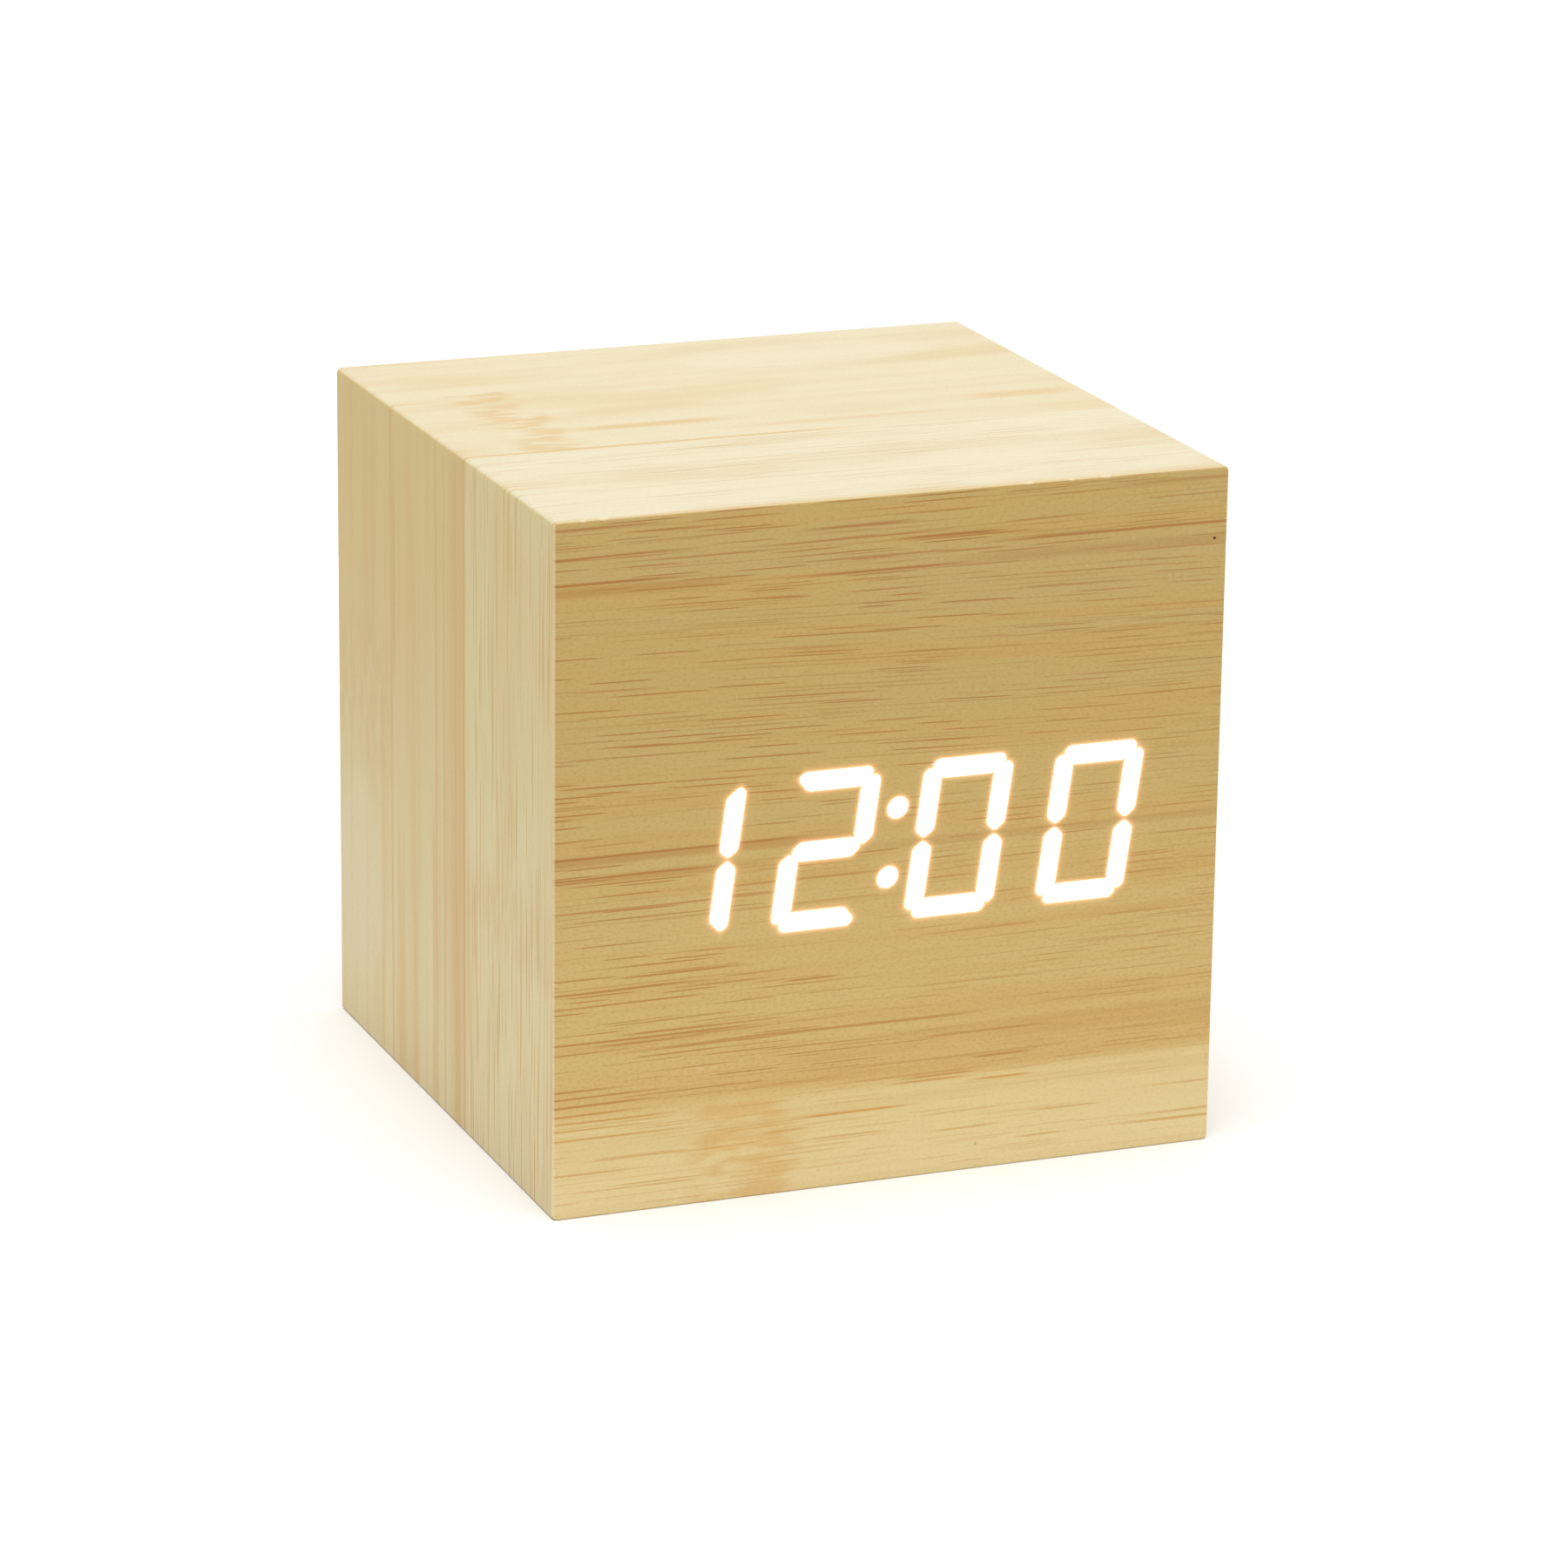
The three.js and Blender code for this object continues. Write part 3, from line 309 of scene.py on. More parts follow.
def make_lit_bar():
    """Distance from the outline of one upright or level display segment, below 0 inside it."""
    tree, g, given, wanted = new_group(
        "lit_bar",
        ["X", "Z", "Centre X", "Centre Z", "Half Length", "Upright", "Start Shift", "End Shift"],
        ["Distance"])
    across = g.minus(given["X"], given["Centre X"])
    up = g.minus(given["Z"], given["Centre Z"])
    swap = g.times(g.minus(up, across), given["Upright"])
    length = g.add(across, swap)
    breadth = g.minus(up, swap)

    # Each end comes to a point, which may lie off the middle line; it then reaches as much further out
    past = g.math("GREATER_THAN", length, 0.0)
    step = g.minus(given["End Shift"], given["Start Shift"])
    shift = g.scaled(past, step, given["Start Shift"])
    aside = g.minus(breadth, shift)
    off = g.math("POWER", g.scaled(aside, aside, TIP_ROUNDING ** 2), 0.5)
    tip = g.add(given["Half Length"], g.math("ABSOLUTE", shift))
    point = g.times(g.minus(g.add(g.math("ABSOLUTE", length), off), tip), math.sqrt(0.5))
    side = g.minus(g.math("ABSOLUTE", breadth), SEGMENT_HALF)
    g.feed(wanted["Distance"], g.math("SMOOTH_MAX", side, point, CORNER_ROUNDING))
    return tree


def make_moulded():
    """Fine spark-eroded texture of moulded plastic, and faint handling marks."""
    tree, g, given, wanted = new_group("moulded_plastic", ["X", "Y", "Z"], ["Texture", "Marks"])
    spot = g.vector(given["X"], given["Y"], given["Z"])
    g.feed(wanted["Texture"], g.noise(spot, scale=9.0, detail=3.0, roughness=0.7))
    g.feed(wanted["Marks"], g.smooth(g.noise(spot, scale=0.35, detail=4.0, roughness=0.65), 0.4, 0.7))
    return tree


DASH_ROWS = make_dash_rows()
FIBRES = make_fibres()
PRINTED_LINE = make_printed_line()
KNUCKLE = make_knuckle()
LIT_BAR = make_lit_bar()
MOULDED = make_moulded()


# Printed film


def colour(red, green, blue, light=1.0, gloss=0.0):
    """A colour socket's value from an sRGB colour of 0 to 255, as seen under this light and gloss."""
    def linear(part):
        part /= 255.0
        bright = part / 12.92 if part <= 0.04045 else ((part + 0.055) / 1.055) ** 2.4
        return max(bright - gloss, 0.0) / light
    return (linear(red), linear(green), linear(blue), 1.0)


def side_ink(red, green, blue):
    """Ink that looks like this on an upright face: 0.9 of full light, and a gloss that adds white."""
    return colour(red, green, blue, light=0.9, gloss=0.065)


def top_ink(red, green, blue):
    """Ink that looks like this on the brighter top face."""
    return colour(red, green, blue, light=1.18, gloss=0.065)


def display_distance(g, x, z):
    """Distance in millimetres from the lit figures of 12:00."""
    up = g.minus(z, DISPLAY_Z)
    straight = g.scaled(up, -math.tan(DIGIT_SLANT), x)
    distances = []
    for place, figure in zip((-1.5, -0.5, 0.5, 1.5), "1200"):
        for segment in LIT[figure]:
            side, level, upright = SEGMENTS[segment]
            half = DIGIT_HALF_HEIGHT / 2 if upright else DIGIT_HALF_WIDTH
            start = end = level * TIP_SHIFT
            if upright:
                start = side * TIP_SHIFT if level < 0 else 0.0
                end = side * TIP_SHIFT if level > 0 else 0.0
            bar = g.group(
                LIT_BAR, X=straight, Z=up,
                Centre_X=place * DIGIT_PITCH + side * DIGIT_HALF_WIDTH,
                Centre_Z=level * DIGIT_HALF_HEIGHT,
                Half_Length=half + TIP_REACH, Upright=float(upright), Start_Shift=start, End_Shift=end)
            distances.append(bar["Distance"])
    for level in (-1, 1):
        rise = g.minus(up, level * COLON_HEIGHT)
        reach = g.math("POWER", g.add(g.times(straight, straight), g.times(rise, rise)), 0.5)
        distances.append(g.minus(reach, COLON_RADIUS))
    nearest = distances[0]
    for distance in distances[1:]:
        nearest = g.math("MINIMUM", nearest, distance)
    return nearest


def long_marks(g, along, across, marks):
    """Long printed marks, each with its place across the grain, half width, ends and strength."""
    waver = g.grain(along, across, 18, 1.5, 0.0, detail=1.0)
    across = g.scaled(g.minus(waver, 0.5), 0.35, across)
    total = 0.0
    for centre, half, start, end, strength in marks:
        line = g.group(
            PRINTED_LINE, Along=along, Across=across, Centre=centre, Half_Width=half,
            Middle=(start + end) / 2, Half_Length=(end - start) / 2, Fade=min(9.0, (end - start) / 3))
        total = g.most(total, g.times(line["Mask"], strength))
    return total


# Long marks on the front sheet: height, half width, left end, right end, strength
FRONT_MARKS = [
    (62.7, 0.25, -45, -20, 0.6), (62.1, 0.12, -27, -13, 0.6), (61.5, 0.12, -18, -8, 0.7),
    (62.6, 0.16, 18, 45, 0.6), (61.0, 0.14, -10, 3, 0.9), (60.2, 0.16, -45, -16, 0.9),
    (59.9, 0.14, -16, 8, 0.8), (59.5, 0.14, -26, -9, 0.7), (59.4, 0.22, -2, 12, 1.0),
    (58.5, 0.20, 6, 45, 0.9), (58.1, 0.12, -12, 9, 0.7), (57.8, 0.20, -45, -16, 1.0),
    (57.1, 0.60, -45, -12, 0.4), (56.8, 0.18, -12, 10, 0.9), (57.0, 0.80, 2, 45, 0.3),
    (33.2, 0.20, -45, -4, 1.0), (32.9, 0.70, -45, -1, 0.5), (31.3, 0.18, -45, -12, 1.0),
    (31.2, 0.60, -45, -9, 0.4), (31.5, 0.60, -6, 45, 0.3),
    (29.2, 0.14, -20, 2, 0.6), (28.3, 0.13, -45, -6, 0.7), (27.0, 0.13, -30, 4, 0.5),
    (21.9, 0.14, -28, -12, 0.9), (20.9, 0.14, -45, -14, 0.9), (20.5, 0.13, -22, -10, 0.6),
    (19.9, 0.13, -11, -4, 0.9), (19.6, 0.14, -45, -16, 0.7), (17.6, 0.13, -27, -12, 0.6),
    (16.6, 0.14, -27, -14, 0.9), (16.2, 0.15, -45, -9, 0.9), (15.8, 0.13, -30, -16, 0.8),
    (15.0, 0.22, -28, 12, 0.7), (13.7, 0.50, -6, 45, 0.2), (12.6, 0.60, 4, 45, 0.2),
    (11.9, 0.15, -45, -22, 0.8), (11.2, 0.15, -45, -18, 0.9), (11.0, 0.18, -9, 22, 0.4),
    (10.4, 0.14, -40, -19, 0.9), (9.7, 0.15, -8, 12, 0.5), (9.6, 0.14, -45, -20, 0.9),
    (8.9, 0.13, -36, -18, 0.8), (8.2, 0.14, -45, -19, 0.8), (7.3, 0.15, -45, -16, 0.8),
    (5.2, 0.13, -30, -17, 0.7), (4.1, 0.14, -45, -20, 0.7), (2.6, 0.13, -28, -16, 0.6),
    (13.1, 0.16, 0, 18, 0.6), (10.7, 0.20, 7, 15, 0.7), (9.4, 0.18, 0, 10, 0.8),
    (9.0, 0.16, -1, 9, 0.8), (8.6, 0.18, 7, 15, 0.9), (6.9, 0.20, -11, 4, 0.9),
    (5.9, 0.15, -13, -7, 0.6), (5.9, 0.16, 23, 45, 0.5), (5.7, 0.16, 2, 13, 0.4),
    (4.9, 0.16, 13, 22, 0.6), (4.7, 0.15, -9, 1, 0.6), (4.1, 0.16, 3, 12, 0.6),
    (3.2, 0.20, 21, 45, 0.6), (2.5, 0.20, 19, 45, 0.7), (2.5, 0.15, 12, 18, 0.6),
]
FRONT_PLANK_Z = 9.4
KNUCKLE_X = -14.0


def print_front(name, across_axis, shift, lit=False):
    """Tan bamboo print of the flat sheets, grain along X, with a paler strip at its low edge."""
    material, g, shader = new_material(name)
    x, y, z = g.place()
    across = z if across_axis == "Z" else g.add(y, DEPTH / 2)

    # The grain slants a little above the figures; dashes crowd there, at the top and low on the left
    slope = g.times(g.near(across, 46.0, 5.0, 9.0), x, 0.028)
    left = g.smooth(x, -22.0, 4.0, 1.0, 0.0)
    crowd = g.add(
        g.smooth(across, 53.0, 57.0, 0.0, 0.15),
        g.times(g.near(across, 45.0, 6.0, 4.0), 0.1),
        g.times(g.near(across, 20.0, 7.0, 6.0), left, 0.05))
    fibres = g.group(FIBRES, Along=x, Across=g.add(across, slope), Shift=shift, Crowd=crowd)
    edge = g.smooth(x, -18.0, 12.0, 1.8, 0.9)
    upper = g.smooth(across, g.minus(FRONT_PLANK_Z, edge), g.add(FRONT_PLANK_Z, edge))
    lower = g.minus(1.0, upper)

    # Ground: darker towards the top with painted shade, with warm bands, and warmer just above the
    # paler strip
    painted_shade_climb = g.smooth(across, FRONT_PLANK_Z, HEIGHT * 0.8)
    ground = g.blend(painted_shade_climb, side_ink(211, 184, 127), side_ink(195, 169, 113))
    # The low strip is paler print; its extra paleness towards the floor is painted light that lifts the
    # shade near the floor
    strip = g.blend(g.smooth(across, 0.0, 8.0), side_ink(232, 213, 163), side_ink(225, 204, 151))
    ground = g.blend(lower, ground, strip)
    warm = g.times(fibres["Bands"], g.scaled(upper, 0.2, 0.15))
    ground = g.blend(warm, ground, side_ink(204, 160, 94))
    foot = g.times(upper, g.smooth(across, FRONT_PLANK_Z, FRONT_PLANK_Z + 6.0, 0.35, 0.0))
    ground = g.blend(foot, ground, side_ink(212, 168, 104))

    knuckle = g.group(
        KNUCKLE, Along=x, Across=across, Centre=KNUCKLE_X, Half_Length=6.5, From=-2.0, To=FRONT_PLANK_Z)
    ground = g.blend(g.times(knuckle["Mask"], 0.45), ground, side_ink(213, 164, 98))
    ground = g.blend(g.times(fibres["Streaks"], upper, 0.22), ground, side_ink(198, 152, 86))

    # Long marks and dashes; the dashes are fainter to the right and in the strip
    low_right = g.times(g.smooth(across, 24.0, 32.0, 1.0, 0.0), g.minus(1.0, left))
    calm = g.most(low_right, g.smooth(x, 4.0, 24.0, 0.0, 0.75))
    crisp = g.times(g.scaled(calm, -0.45, 1.0), g.scaled(lower, -0.35, 1.0))
    marks = g.most(long_marks(g, x, across, FRONT_MARKS), g.times(fibres["Dashes"], crisp))
    # The dash ink darkens towards the top with the same painted shade
    upper_ink = g.blend(painted_shade_climb, side_ink(181, 122, 50), side_ink(168, 114, 44))
    dash_ink = g.blend(lower, upper_ink, side_ink(204, 150, 80))
    screen = g.scaled(fibres["Screen"], 0.3, 0.75)
    ground = g.blend(g.times(marks, screen), ground, dash_ink)

    # Fine lines and grain, fainter in the strip, and the dot screen over all of it
    plain = g.scaled(lower, -0.6, 1.0)
    fine = g.times(plain, g.smooth(fibres["Lines"], 0.5, 0.75, 0.0, 0.15))
    ground = g.blend(fine, ground, side_ink(182, 142, 80))
    ground = g.blend(g.times(fibres["Screen"], 0.10), ground, side_ink(232, 212, 160))
    speckle = g.times(plain, g.smooth(fibres["Grain"], 0.4, 0.8, 0.0, 0.28))
    ground = g.blend(speckle, ground, side_ink(176, 142, 86))
    # The front sheet's wear marks, with a painted highlight along its edges
    if lit:
        ground = wear_and_edge_highlight(g, x, z, ground)
    g.feed(shader.inputs["Base Color"], ground)

    g.feed(shader.inputs["Roughness"], g.scaled(fibres["Lines"], 0.16, 0.45))
    relief = g.scaled(fibres["Lines"], 0.6, fibres["Screen"])
    g.feed(shader.inputs["Normal"], g.bump(relief, 0.12, PRINT_RELIEF))
    if lit:
        shine_through(g, shader, x, z)
    return material


# Chips along the top edge: place and half length; nicks: place; specks: place, half sizes and strength
CHIPS = [(-29.1, 0.3), (-27.2, 0.5), (12.4, 0.5), (16.5, 0.3), (19.8, 0.6)]
NICKS = [(-17.95, 12.6), (-16.7, 12.6)]
SPECKS = [(30.5, 57.0, 0.16, 0.16, 1.0), (8.6, 2.4, 0.15, 0.25, 0.25)]


def wear_and_edge_highlight(g, x, z, ground):
    """Pale core at the cut edge of the front sheet with a painted highlight along it, chips along its
    top, nicks and specks.
    """
    # Painted highlight along the sheet's top and side edges, laid over its pale cut core
    edge = g.most(
        g.smooth(g.math("ABSOLUTE", x), WIDTH / 2 - 0.16, WIDTH / 2 - 0.06),
        g.smooth(z, HEIGHT - 0.14, HEIGHT - 0.06))
    ground = g.blend(g.times(edge, 0.5), ground, side_ink(232, 217, 182))
    pale = 0.0
    for centre, half in CHIPS:
        pale = g.most(pale, g.spot(x, z, centre, HEIGHT, half, 0.2))
    for centre, height in NICKS:
        pale = g.most(pale, g.times(g.spot(x, z, centre, height, 0.4, 0.12), 0.5))
    ground = g.blend(g.times(pale, 0.3), ground, side_ink(240, 230, 206))
    dark = 0.0
    for centre, height, half_x, half_z, strength in SPECKS:
        dark = g.most(dark, g.times(g.spot(x, z, centre, height, half_x, half_z), strength))
    return g.blend(dark, ground, side_ink(96, 72, 44))


def shine_through(g, shader, x, z):
    """The figures shine through the sheet, with a thin warm fringe and a faint wide glow."""
    distance = display_distance(g, x, z)
    outside = g.most(distance, 0.0)
    black = (0.0, 0.0, 0.0, 1.0)
    fringe = g.blend(g.math("EXPONENT", g.times(outside, -7.0)), black, (0.8, 0.36, 0.2, 1.0))
    faint = g.times(g.math("EXPONENT", g.times(outside, -0.7)), 0.03)
    halo = g.blend(faint, black, (1.0, 0.55, 0.15, 1.0))
    glow = g.blend(1.0, fringe, halo, blend_type="ADD")
    core = g.smooth(distance, -0.06, 0.06, 1.0, 0.0)
    g.feed(shader.inputs["Emission Color"], g.blend(core, glow, (1.0, 1.0, 1.0, 1.0)))
    shader.inputs["Emission Strength"].default_value = 1.0


# Where the wrapped sheet's front strip meets its rear strip
PLANK_Y = -7.0
# Soft marks of the rear strip and its edge: place across, half width, ends along the wrap, strength
WRAP_MARKS = [
    (-6.4, 0.4, -80, 40, 1.0), (-4.3, 3.0, -80, 6, 0.5), (-4.0, 0.5, -80, 6, 0.9),
    (-0.8, 0.35, -80, 4, 0.6), (1.5, 0.4, -80, 4, 0.7), (14.6, 0.6, -80, 6, 0.6),
    (-3.0, 1.0, 24, 52, 0.4), (0.4, 1.3, 10, 30, 0.8), (6.8, 2.4, 13, 30, 0.4), (1.0, 1.6, 50, 64, 0.6),
    (13.9, 0.9, -30, -2, 0.8), (2.4, 0.7, -80, -30, 0.4), (8.0, 1.0, -70, -6, 0.3),
    (21.0, 3.0, -30, 0, 0.3),
]
# Knuckles of both strips: place along the wrap, half length, first and last place across, strength
WRAP_KNUCKLES = [
    (8.8, 4.0, PLANK_Y, 17.0, 1.0), (-29.0, 10.0, 14.0, 34.0, 0.8), (-39.5, 4.5, -34.0, PLANK_Y, 0.6),
]
# Bleached places of the rear strip: places along and across, half sizes
BLEACHED = [(-48.0, 24.0, 12.0, 8.0), (44.0, 22.5, 15.0, 5.5)]
# Rows of pores in the front strip: length, pitch and thickness of the lines
PORE_ROWS = [(13.0, 0.8, 0.18), (22.0, 1.15, 0.22), (38.0, 0.6, 0.16)]


def print_wrap():
    """Pale bamboo print that runs up the left side, over the top and down the right side."""
    material, g, shader = new_material("wrap_print")
    x, y, z = g.place()
    turn = g.math("SIGN", x)
    drop = g.times(g.minus(HEIGHT, z), turn)
    along = g.add(x, WIDTH / 2, drop)
    fibres = g.group(FIBRES, Along=along, Across=y, Shift=260.0, Crowd=0.0)
    front = g.smooth(y, PLANK_Y - 0.2, PLANK_Y + 0.2, 1.0, 0.0)
    rear = g.minus(1.0, front)

    # Where the sheet crosses the top it is painted paler, in its marks too: the top's brighter light is
    # divided out, and the paleness left is painted sheen from the grazing light
    over = g.smooth(z, HEIGHT - 0.3, HEIGHT - 0.1)
    # On the upright sides, painted shade darkens the sheet towards the top
    rise = g.smooth(z, 0.0, HEIGHT * 0.9)
    rear_side = g.blend(rise, side_ink(216, 201, 159), side_ink(200, 181, 125))
    front_side = g.blend(rise, side_ink(217, 203, 163), side_ink(207, 192, 142))
    rear_ground = g.blend(over, rear_side, top_ink(243, 230, 194))
    front_ground = g.blend(over, front_side, top_ink(245, 235, 203))
    ground = g.blend(front, rear_ground, front_ground)
    slow = g.grain(along, y, 30, 7, 4.0, detail=2.0)
    ground = g.blend(g.smooth(slow, 0.45, 0.7, 0.0, 0.4), ground, side_ink(206, 180, 126))
    bands = g.times(fibres["Bands"], rear, g.scaled(over, -0.3, 0.45))
    ground = g.blend(bands, ground, side_ink(206, 168, 108))
    marks = g.times(long_marks(g, along, y, WRAP_MARKS), rear, g.scaled(over, 0.2, 0.5))
    ground = g.blend(marks, ground, g.blend(over, side_ink(194, 148, 86), side_ink(206, 168, 108)))

    joints = 0.0
    for centre, half, first, last, strength in WRAP_KNUCKLES:
        band = g.group(
            KNUCKLE, Along=along, Across=y, Centre=centre, Half_Length=half, From=first, To=last)
        joints = g.most(joints, g.times(band["Mask"], strength))
    joint_ink = g.blend(over, side_ink(200, 156, 98), top_ink(228, 186, 116))
    ground = g.blend(g.times(joints, g.scaled(over, 0.15, 0.35)), ground, joint_ink)
    bleached = g.most(*(g.spot(along, y, *spot) for spot in BLEACHED))
    bleached_ink = g.blend(over, side_ink(214, 203, 168), top_ink(247, 238, 212))
    ground = g.blend(g.times(bleached, 0.4), ground, bleached_ink)

    # Pores: fine lines of the front strip, plain to see on the sides and faint on top
    patch = g.grain(along, y, 16, 3, 8.0, detail=1.0)
    density = g.smooth(patch, 0.35, 0.62, 0.4, 0.8)
    pores = 0.0
    for length, pitch, thickness in PORE_ROWS:
        rows = g.group(
            DASH_ROWS, Along=along, Across=y, Density=density,
            Length=length, Pitch=pitch, Thickness=thickness)
        pores = g.most(pores, rows["Mask"])
    strength = g.times(front, g.scaled(over, -0.3, 0.9))
    pore_ink = g.blend(over, side_ink(192, 142, 72), top_ink(216, 172, 104))
    ground = g.blend(g.times(pores, strength), ground, pore_ink)
    fine = g.smooth(fibres["Lines"], 0.5, 0.8, 0.0, 0.25)
    ground = g.blend(g.times(fine, g.scaled(front, 0.6, 0.4)), ground, side_ink(186, 152, 98))
    ground = g.blend(g.smooth(fibres["Grain"], 0.45, 0.8, 0.0, 0.12), ground, side_ink(176, 146, 92))
    g.feed(shader.inputs["Base Color"], ground)

    g.feed(shader.inputs["Roughness"], g.scaled(fibres["Lines"], 0.2, 0.38))
    relief = g.scaled(fibres["Lines"], 0.8, fibres["Screen"])
    g.feed(shader.inputs["Normal"], g.bump(relief, 0.12, PRINT_RELIEF))
    return material


# Plainer materials


def fibreboard():
    """Flecked board of the case."""
    material, g, shader = new_material("fibreboard")
    spot = g.vector(*g.place())
    fleck = g.noise(spot, scale=2.2, detail=5.0, roughness=0.7)
    g.feed(shader.inputs["Base Color"], g.blend(fleck, colour(128, 92, 56), colour(190, 152, 104)))
    g.feed(shader.inputs["Roughness"], g.scaled(fleck, 0.2, 0.7))
    g.feed(shader.inputs["Normal"], g.bump(fleck, 0.4, BOARD_RELIEF))
    return material


def moulded(name, base, worn, roughness, metallic=0.0, relief=0.15, gloss=0.5):
    """A moulded, plated or sleeved surface: fine texture, with marks from handling."""
    material, g, shader = new_material(name)
    x, y, z = g.place()
    skin = g.group(MOULDED, X=x, Y=y, Z=z)
    g.feed(shader.inputs["Base Color"], g.blend(g.times(skin["Marks"], 0.5), base, worn))
    g.feed(shader.inputs["Roughness"], g.scaled(skin["Texture"], 0.2, roughness - 0.1))
    g.feed(shader.inputs["Normal"], g.bump(skin["Texture"], relief, SKIN_RELIEF))
    shader.inputs["Metallic"].default_value = metallic
    shader.inputs["Specular IOR Level"].default_value = gloss
    return material


TRACK_PITCH = 1.27


def circuit_board():
    """Green solder mask with lighter tracks under it."""
    material, g, shader = new_material("circuit_board")
    x, y, z = g.place()
    row = g.times(z, 1 / TRACK_PITCH)
    column = g.times(x, 0.5 / TRACK_PITCH)
    level_chance = g.chances(g.vector(g.math("FLOOR", g.times(column, 1 / 3)), g.math("FLOOR", row)))[0]
    block = g.math("FLOOR", g.times(row, 1 / 5))
    upright_chance = g.chances(g.vector(g.math("FLOOR", column), block))[1]
    level = g.times(g.near(g.math("FRACT", row), 0.5, 0.14, 0.06), g.smooth(level_chance, 0.58, 0.6))
    upright = g.near(g.math("FRACT", column), 0.5, 0.07, 0.03)
    upright = g.times(upright, g.smooth(upright_chance, 0.64, 0.66))
    tracks = g.most(level, upright)
    mask = g.blend(g.times(tracks, 0.8), colour(20, 74, 42), colour(52, 124, 66))
    g.feed(shader.inputs["Base Color"], mask)
    g.feed(shader.inputs["Roughness"], g.scaled(tracks, 0.1, 0.35))
    g.feed(shader.inputs["Normal"], g.bump(tracks, 0.3, SKIN_RELIEF))
    return material


def lit_resin():
    """Milky resin of the display, lit where the figures shine."""
    material, g, shader = new_material("clear_resin")
    x, y, z = g.place()
    cloud = g.noise(g.vector(x, y, z), scale=1.2, detail=3.0)
    g.feed(shader.inputs["Base Color"], g.blend(cloud, colour(240, 228, 196), colour(255, 250, 236)))
    shader.inputs["Roughness"].default_value = 0.3
    core = g.smooth(display_distance(g, x, z), -0.1, 0.2, 1.0, 0.0)
    g.feed(shader.inputs["Emission Color"], g.blend(core, (0.0, 0.0, 0.0, 1.0), (1.0, 0.95, 0.85, 1.0)))
    shader.inputs["Emission Strength"].default_value = 1.5
    return material


# How far a cell's dark sleeve and its paler rings reach from the middle
CELL_SLEEVE_END = 14.5
CELL_RING_END = 20.0


def cell_sleeve():
    """Plain sleeve of a battery cell: dark body, a paler ring at either end, bare steel ends."""
    material, g, shader = new_material("cell_sleeve")
    x, y, z = g.place()
    skin = g.group(MOULDED, X=x, Y=y, Z=z)
    reach = g.math("ABSOLUTE", x)
    ring = g.smooth(reach, CELL_SLEEVE_END, CELL_SLEEVE_END + 0.1)
    bare = g.smooth(reach, CELL_RING_END, CELL_RING_END + 0.1)
    body = g.blend(ring, colour(38, 70, 104), colour(196, 158, 92))
    body = g.blend(g.times(skin["Marks"], 0.25), body, colour(92, 110, 130))
    g.feed(shader.inputs["Base Color"], g.blend(bare, body, colour(190, 192, 196)))
    g.feed(shader.inputs["Metallic"], bare)
    g.feed(shader.inputs["Roughness"], g.scaled(skin["Texture"], 0.15, 0.25))
    return material


BUTTON_CAP = moulded("button_cap", colour(26, 26, 28), colour(46, 46, 48), 0.3, relief=0.1)
OWN_FINISH = {
    "button_set": BUTTON_CAP,
    "button_up": BUTTON_CAP,
    "button_down": BUTTON_CAP,
    "front_film": print_front("front_print", "Z", 0.0, lit=True),
    "rear_film": print_front("rear_print", "Z", 140.0),
    "bottom_film": print_front("bottom_print", "Y", 420.0),
    "wrap_film": print_wrap(),
}
# Moulded, sleeved and plated finishes by material slot: colour, colour where worn, roughness
PLASTICS = {
    "white_plastic": (colour(230, 229, 223), colour(220, 217, 208), 0.45),
    "capacitor_sleeve": (colour(34, 44, 78), colour(60, 70, 100), 0.35),
    "red_sleeve": (colour(170, 34, 26), colour(196, 74, 60), 0.45),
    "black_sleeve": (colour(30, 30, 30), colour(56, 54, 52), 0.45),
    "grey_sleeve": (colour(158, 158, 162), colour(126, 126, 128), 0.5),
}
METALS = {
    "bright_steel": (colour(190, 193, 197), colour(150, 150, 150), 0.3),
    "spring_steel": (colour(205, 203, 196), colour(160, 156, 148), 0.28),
    "brass_plate": (colour(196, 166, 92), colour(150, 118, 62), 0.32),
}
SLOTS = {
    "fibreboard": fibreboard(),
    "clear_resin": lit_resin(),
    "circuit_board": circuit_board(),
    "cell_sleeve": cell_sleeve(),
    "black_plastic": moulded(
        "black_plastic", colour(14, 14, 15), colour(30, 29, 29), 0.5, relief=0.3, gloss=0.3),
}
for slot, look in PLASTICS.items():
    SLOTS[slot] = moulded(slot, *look)
for slot, look in METALS.items():
    SLOTS[slot] = moulded(slot, *look, metallic=1.0)


# Corners closer than this are one corner, in metres
WELD_REACH = 1e-6


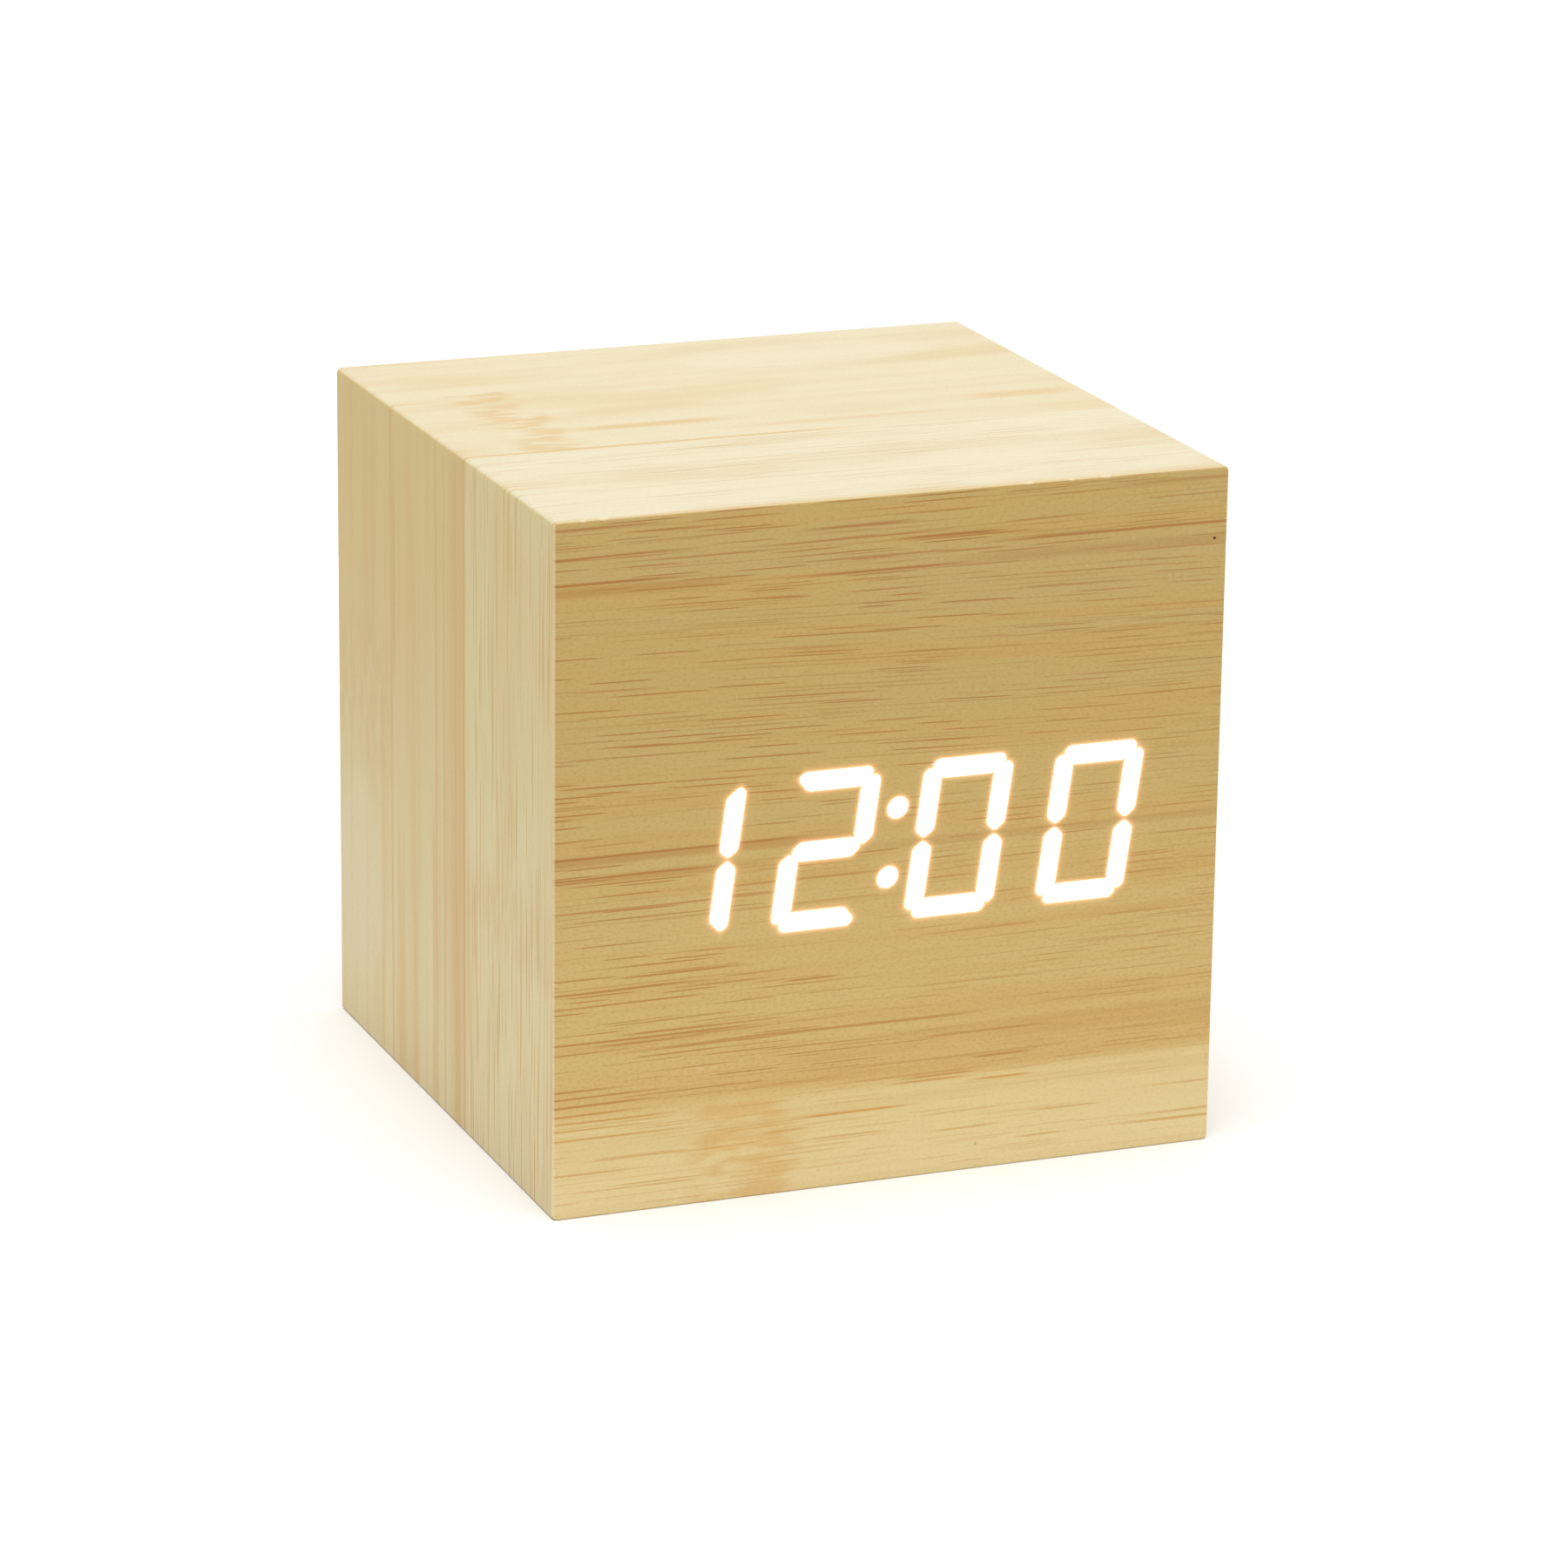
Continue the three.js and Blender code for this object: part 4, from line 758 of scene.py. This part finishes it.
def make_round_shading(angle):
    """Modifier nodes that join a solid's faces and shade them smooth, but for edges over this angle."""
    tree = bpy.data.node_groups.new("round_shading", "GeometryNodeTree")
    for way in ("INPUT", "OUTPUT"):
        tree.interface.new_socket("Geometry", in_out=way, socket_type="NodeSocketGeometry")
    g = Graph(tree)
    whole = g.node("GeometryNodeMergeByDistance")
    g.feed(whole.inputs["Geometry"], g.node("NodeGroupInput").outputs[0])
    g.feed(whole.inputs["Distance"], WELD_REACH)
    bare = g.node("GeometryNodeRemoveAttribute")
    g.feed(bare.inputs["Geometry"], whole.outputs[0])
    g.feed(bare.inputs["Name"], "custom_normal")
    faces = g.node("GeometryNodeSetShadeSmooth", domain="FACE")
    g.feed(faces.inputs["Geometry"], bare.outputs[0])
    sharp = g.node("FunctionNodeCompare", data_type="FLOAT", operation="GREATER_THAN")
    g.feed(sharp.inputs[0], g.node("GeometryNodeInputMeshEdgeAngle").outputs["Unsigned Angle"])
    g.feed(sharp.inputs[1], angle)
    edges = g.node("GeometryNodeSetShadeSmooth", domain="EDGE")
    g.feed(edges.inputs["Geometry"], faces.outputs[0])
    g.feed(edges.inputs["Selection"], sharp.outputs[0])
    edges.inputs["Shade Smooth"].default_value = False
    g.feed(g.node("NodeGroupOutput").inputs[0], edges.outputs[0])
    return tree


# Pieces with turned or bent forms; a spring's wire has few sides, so its wider angles are smooth too
ROUND_PIECES = (
    "screw", "spacer", "plunger", "button", "cell", "lead", "buzzer", "microphone", "capacitor",
    "crystal", "panel", "door",
)
TURNED = make_round_shading(math.radians(50))
WOUND = make_round_shading(math.radians(80))
for entry in frame["record"]["subparts"]:
    name = entry["node"]
    node = frame["nodes"][name]
    node.data.materials.clear()
    node.data.materials.append(OWN_FINISH.get(name) or SLOTS[entry["material_slot"]])
    if "spring" in name:
        node.modifiers.new("wound", "NODES").node_group = WOUND
    elif any(word in name for word in ROUND_PIECES):
        node.modifiers.new("turned", "NODES").node_group = TURNED


# Stage: pale floor, white surroundings and soft studio light


def make_floor():
    """A broad floor that takes the shadow."""
    mesh = bpy.data.meshes.new("floor")
    reach = 4.0
    corners = [(-reach, -reach, 0), (reach, -reach, 0), (reach, reach, 0), (-reach, reach, 0)]
    mesh.from_pydata(corners, [], [(0, 1, 2, 3)])
    floor = bpy.data.objects.new("floor", mesh)
    bpy.context.scene.collection.objects.link(floor)
    material, g, shader = new_material("pale_floor")
    spot = g.vector(*g.place())
    tone = g.noise(spot, scale=0.01)
    g.feed(shader.inputs["Base Color"], g.blend(tone, (0.93, 0.93, 0.93, 1), (0.95, 0.95, 0.95, 1)))
    shader.inputs["Roughness"].default_value = 0.9
    shader.inputs["Specular IOR Level"].default_value = 0.1
    mesh.materials.append(material)


def make_surroundings(ambient):
    """Even white light from all round; the camera and reflections see plain white."""
    world = bpy.data.worlds.new("studio")
    world.use_nodes = True
    bpy.context.scene.world = world
    tree = world.node_tree
    tree.nodes.clear()
    g = Graph(tree)
    seen = g.node("ShaderNodeBackground")
    lit = g.node("ShaderNodeBackground")
    lit.inputs["Strength"].default_value = ambient
    for shade in (seen, lit):
        shade.inputs["Color"].default_value = (1.0, 1.0, 1.0, 1.0)
    choose = g.node("ShaderNodeMixShader")
    rays = g.node("ShaderNodeLightPath").outputs
    plain = g.most(rays["Is Camera Ray"], rays["Is Glossy Ray"], rays["Is Transmission Ray"])
    g.feed(choose.inputs[0], plain)
    tree.links.new(lit.outputs[0], choose.inputs[1])
    tree.links.new(seen.outputs[0], choose.inputs[2])
    tree.links.new(choose.outputs[0], g.node("ShaderNodeOutputWorld").inputs[0])


def make_lamp(name, place, strength, spread):
    """A far, broad studio lamp that lights the part and the floor evenly."""
    lamp = bpy.data.lights.new(name, "SUN")
    lamp.energy = strength
    lamp.angle = spread
    made = bpy.data.objects.new(name, lamp)
    made.location = place
    made.rotation_euler = (-Vector(place)).to_track_quat("-Z", "Y").to_euler()
    bpy.context.scene.collection.objects.link(made)


def make_camera():
    """The photograph's point of view, from a solve on the case's seven seen corners."""
    place = Vector((-0.20481, -0.52208, 0.19828))
    target = Vector((0.00177, 0.0, 0.02815))
    roll = math.radians(0.727)
    data = bpy.data.cameras.new("camera")
    data.sensor_width = 36.0
    data.lens = 144.75
    camera = bpy.data.objects.new("camera", data)
    turn = (target - place).to_track_quat("-Z", "Y").to_matrix() @ Matrix.Rotation(roll, 3, "Z")
    camera.matrix_world = Matrix.Translation(place) @ turn.to_4x4()
    bpy.context.scene.collection.objects.link(camera)
    bpy.context.scene.camera = camera


make_floor()
make_surroundings(ambient=0.55)
make_lamp("soft_lamp", (-0.06, -0.12, 1.2), 2.2, math.radians(40))
make_camera()
bpy.context.scene.view_settings.view_transform = "Standard"
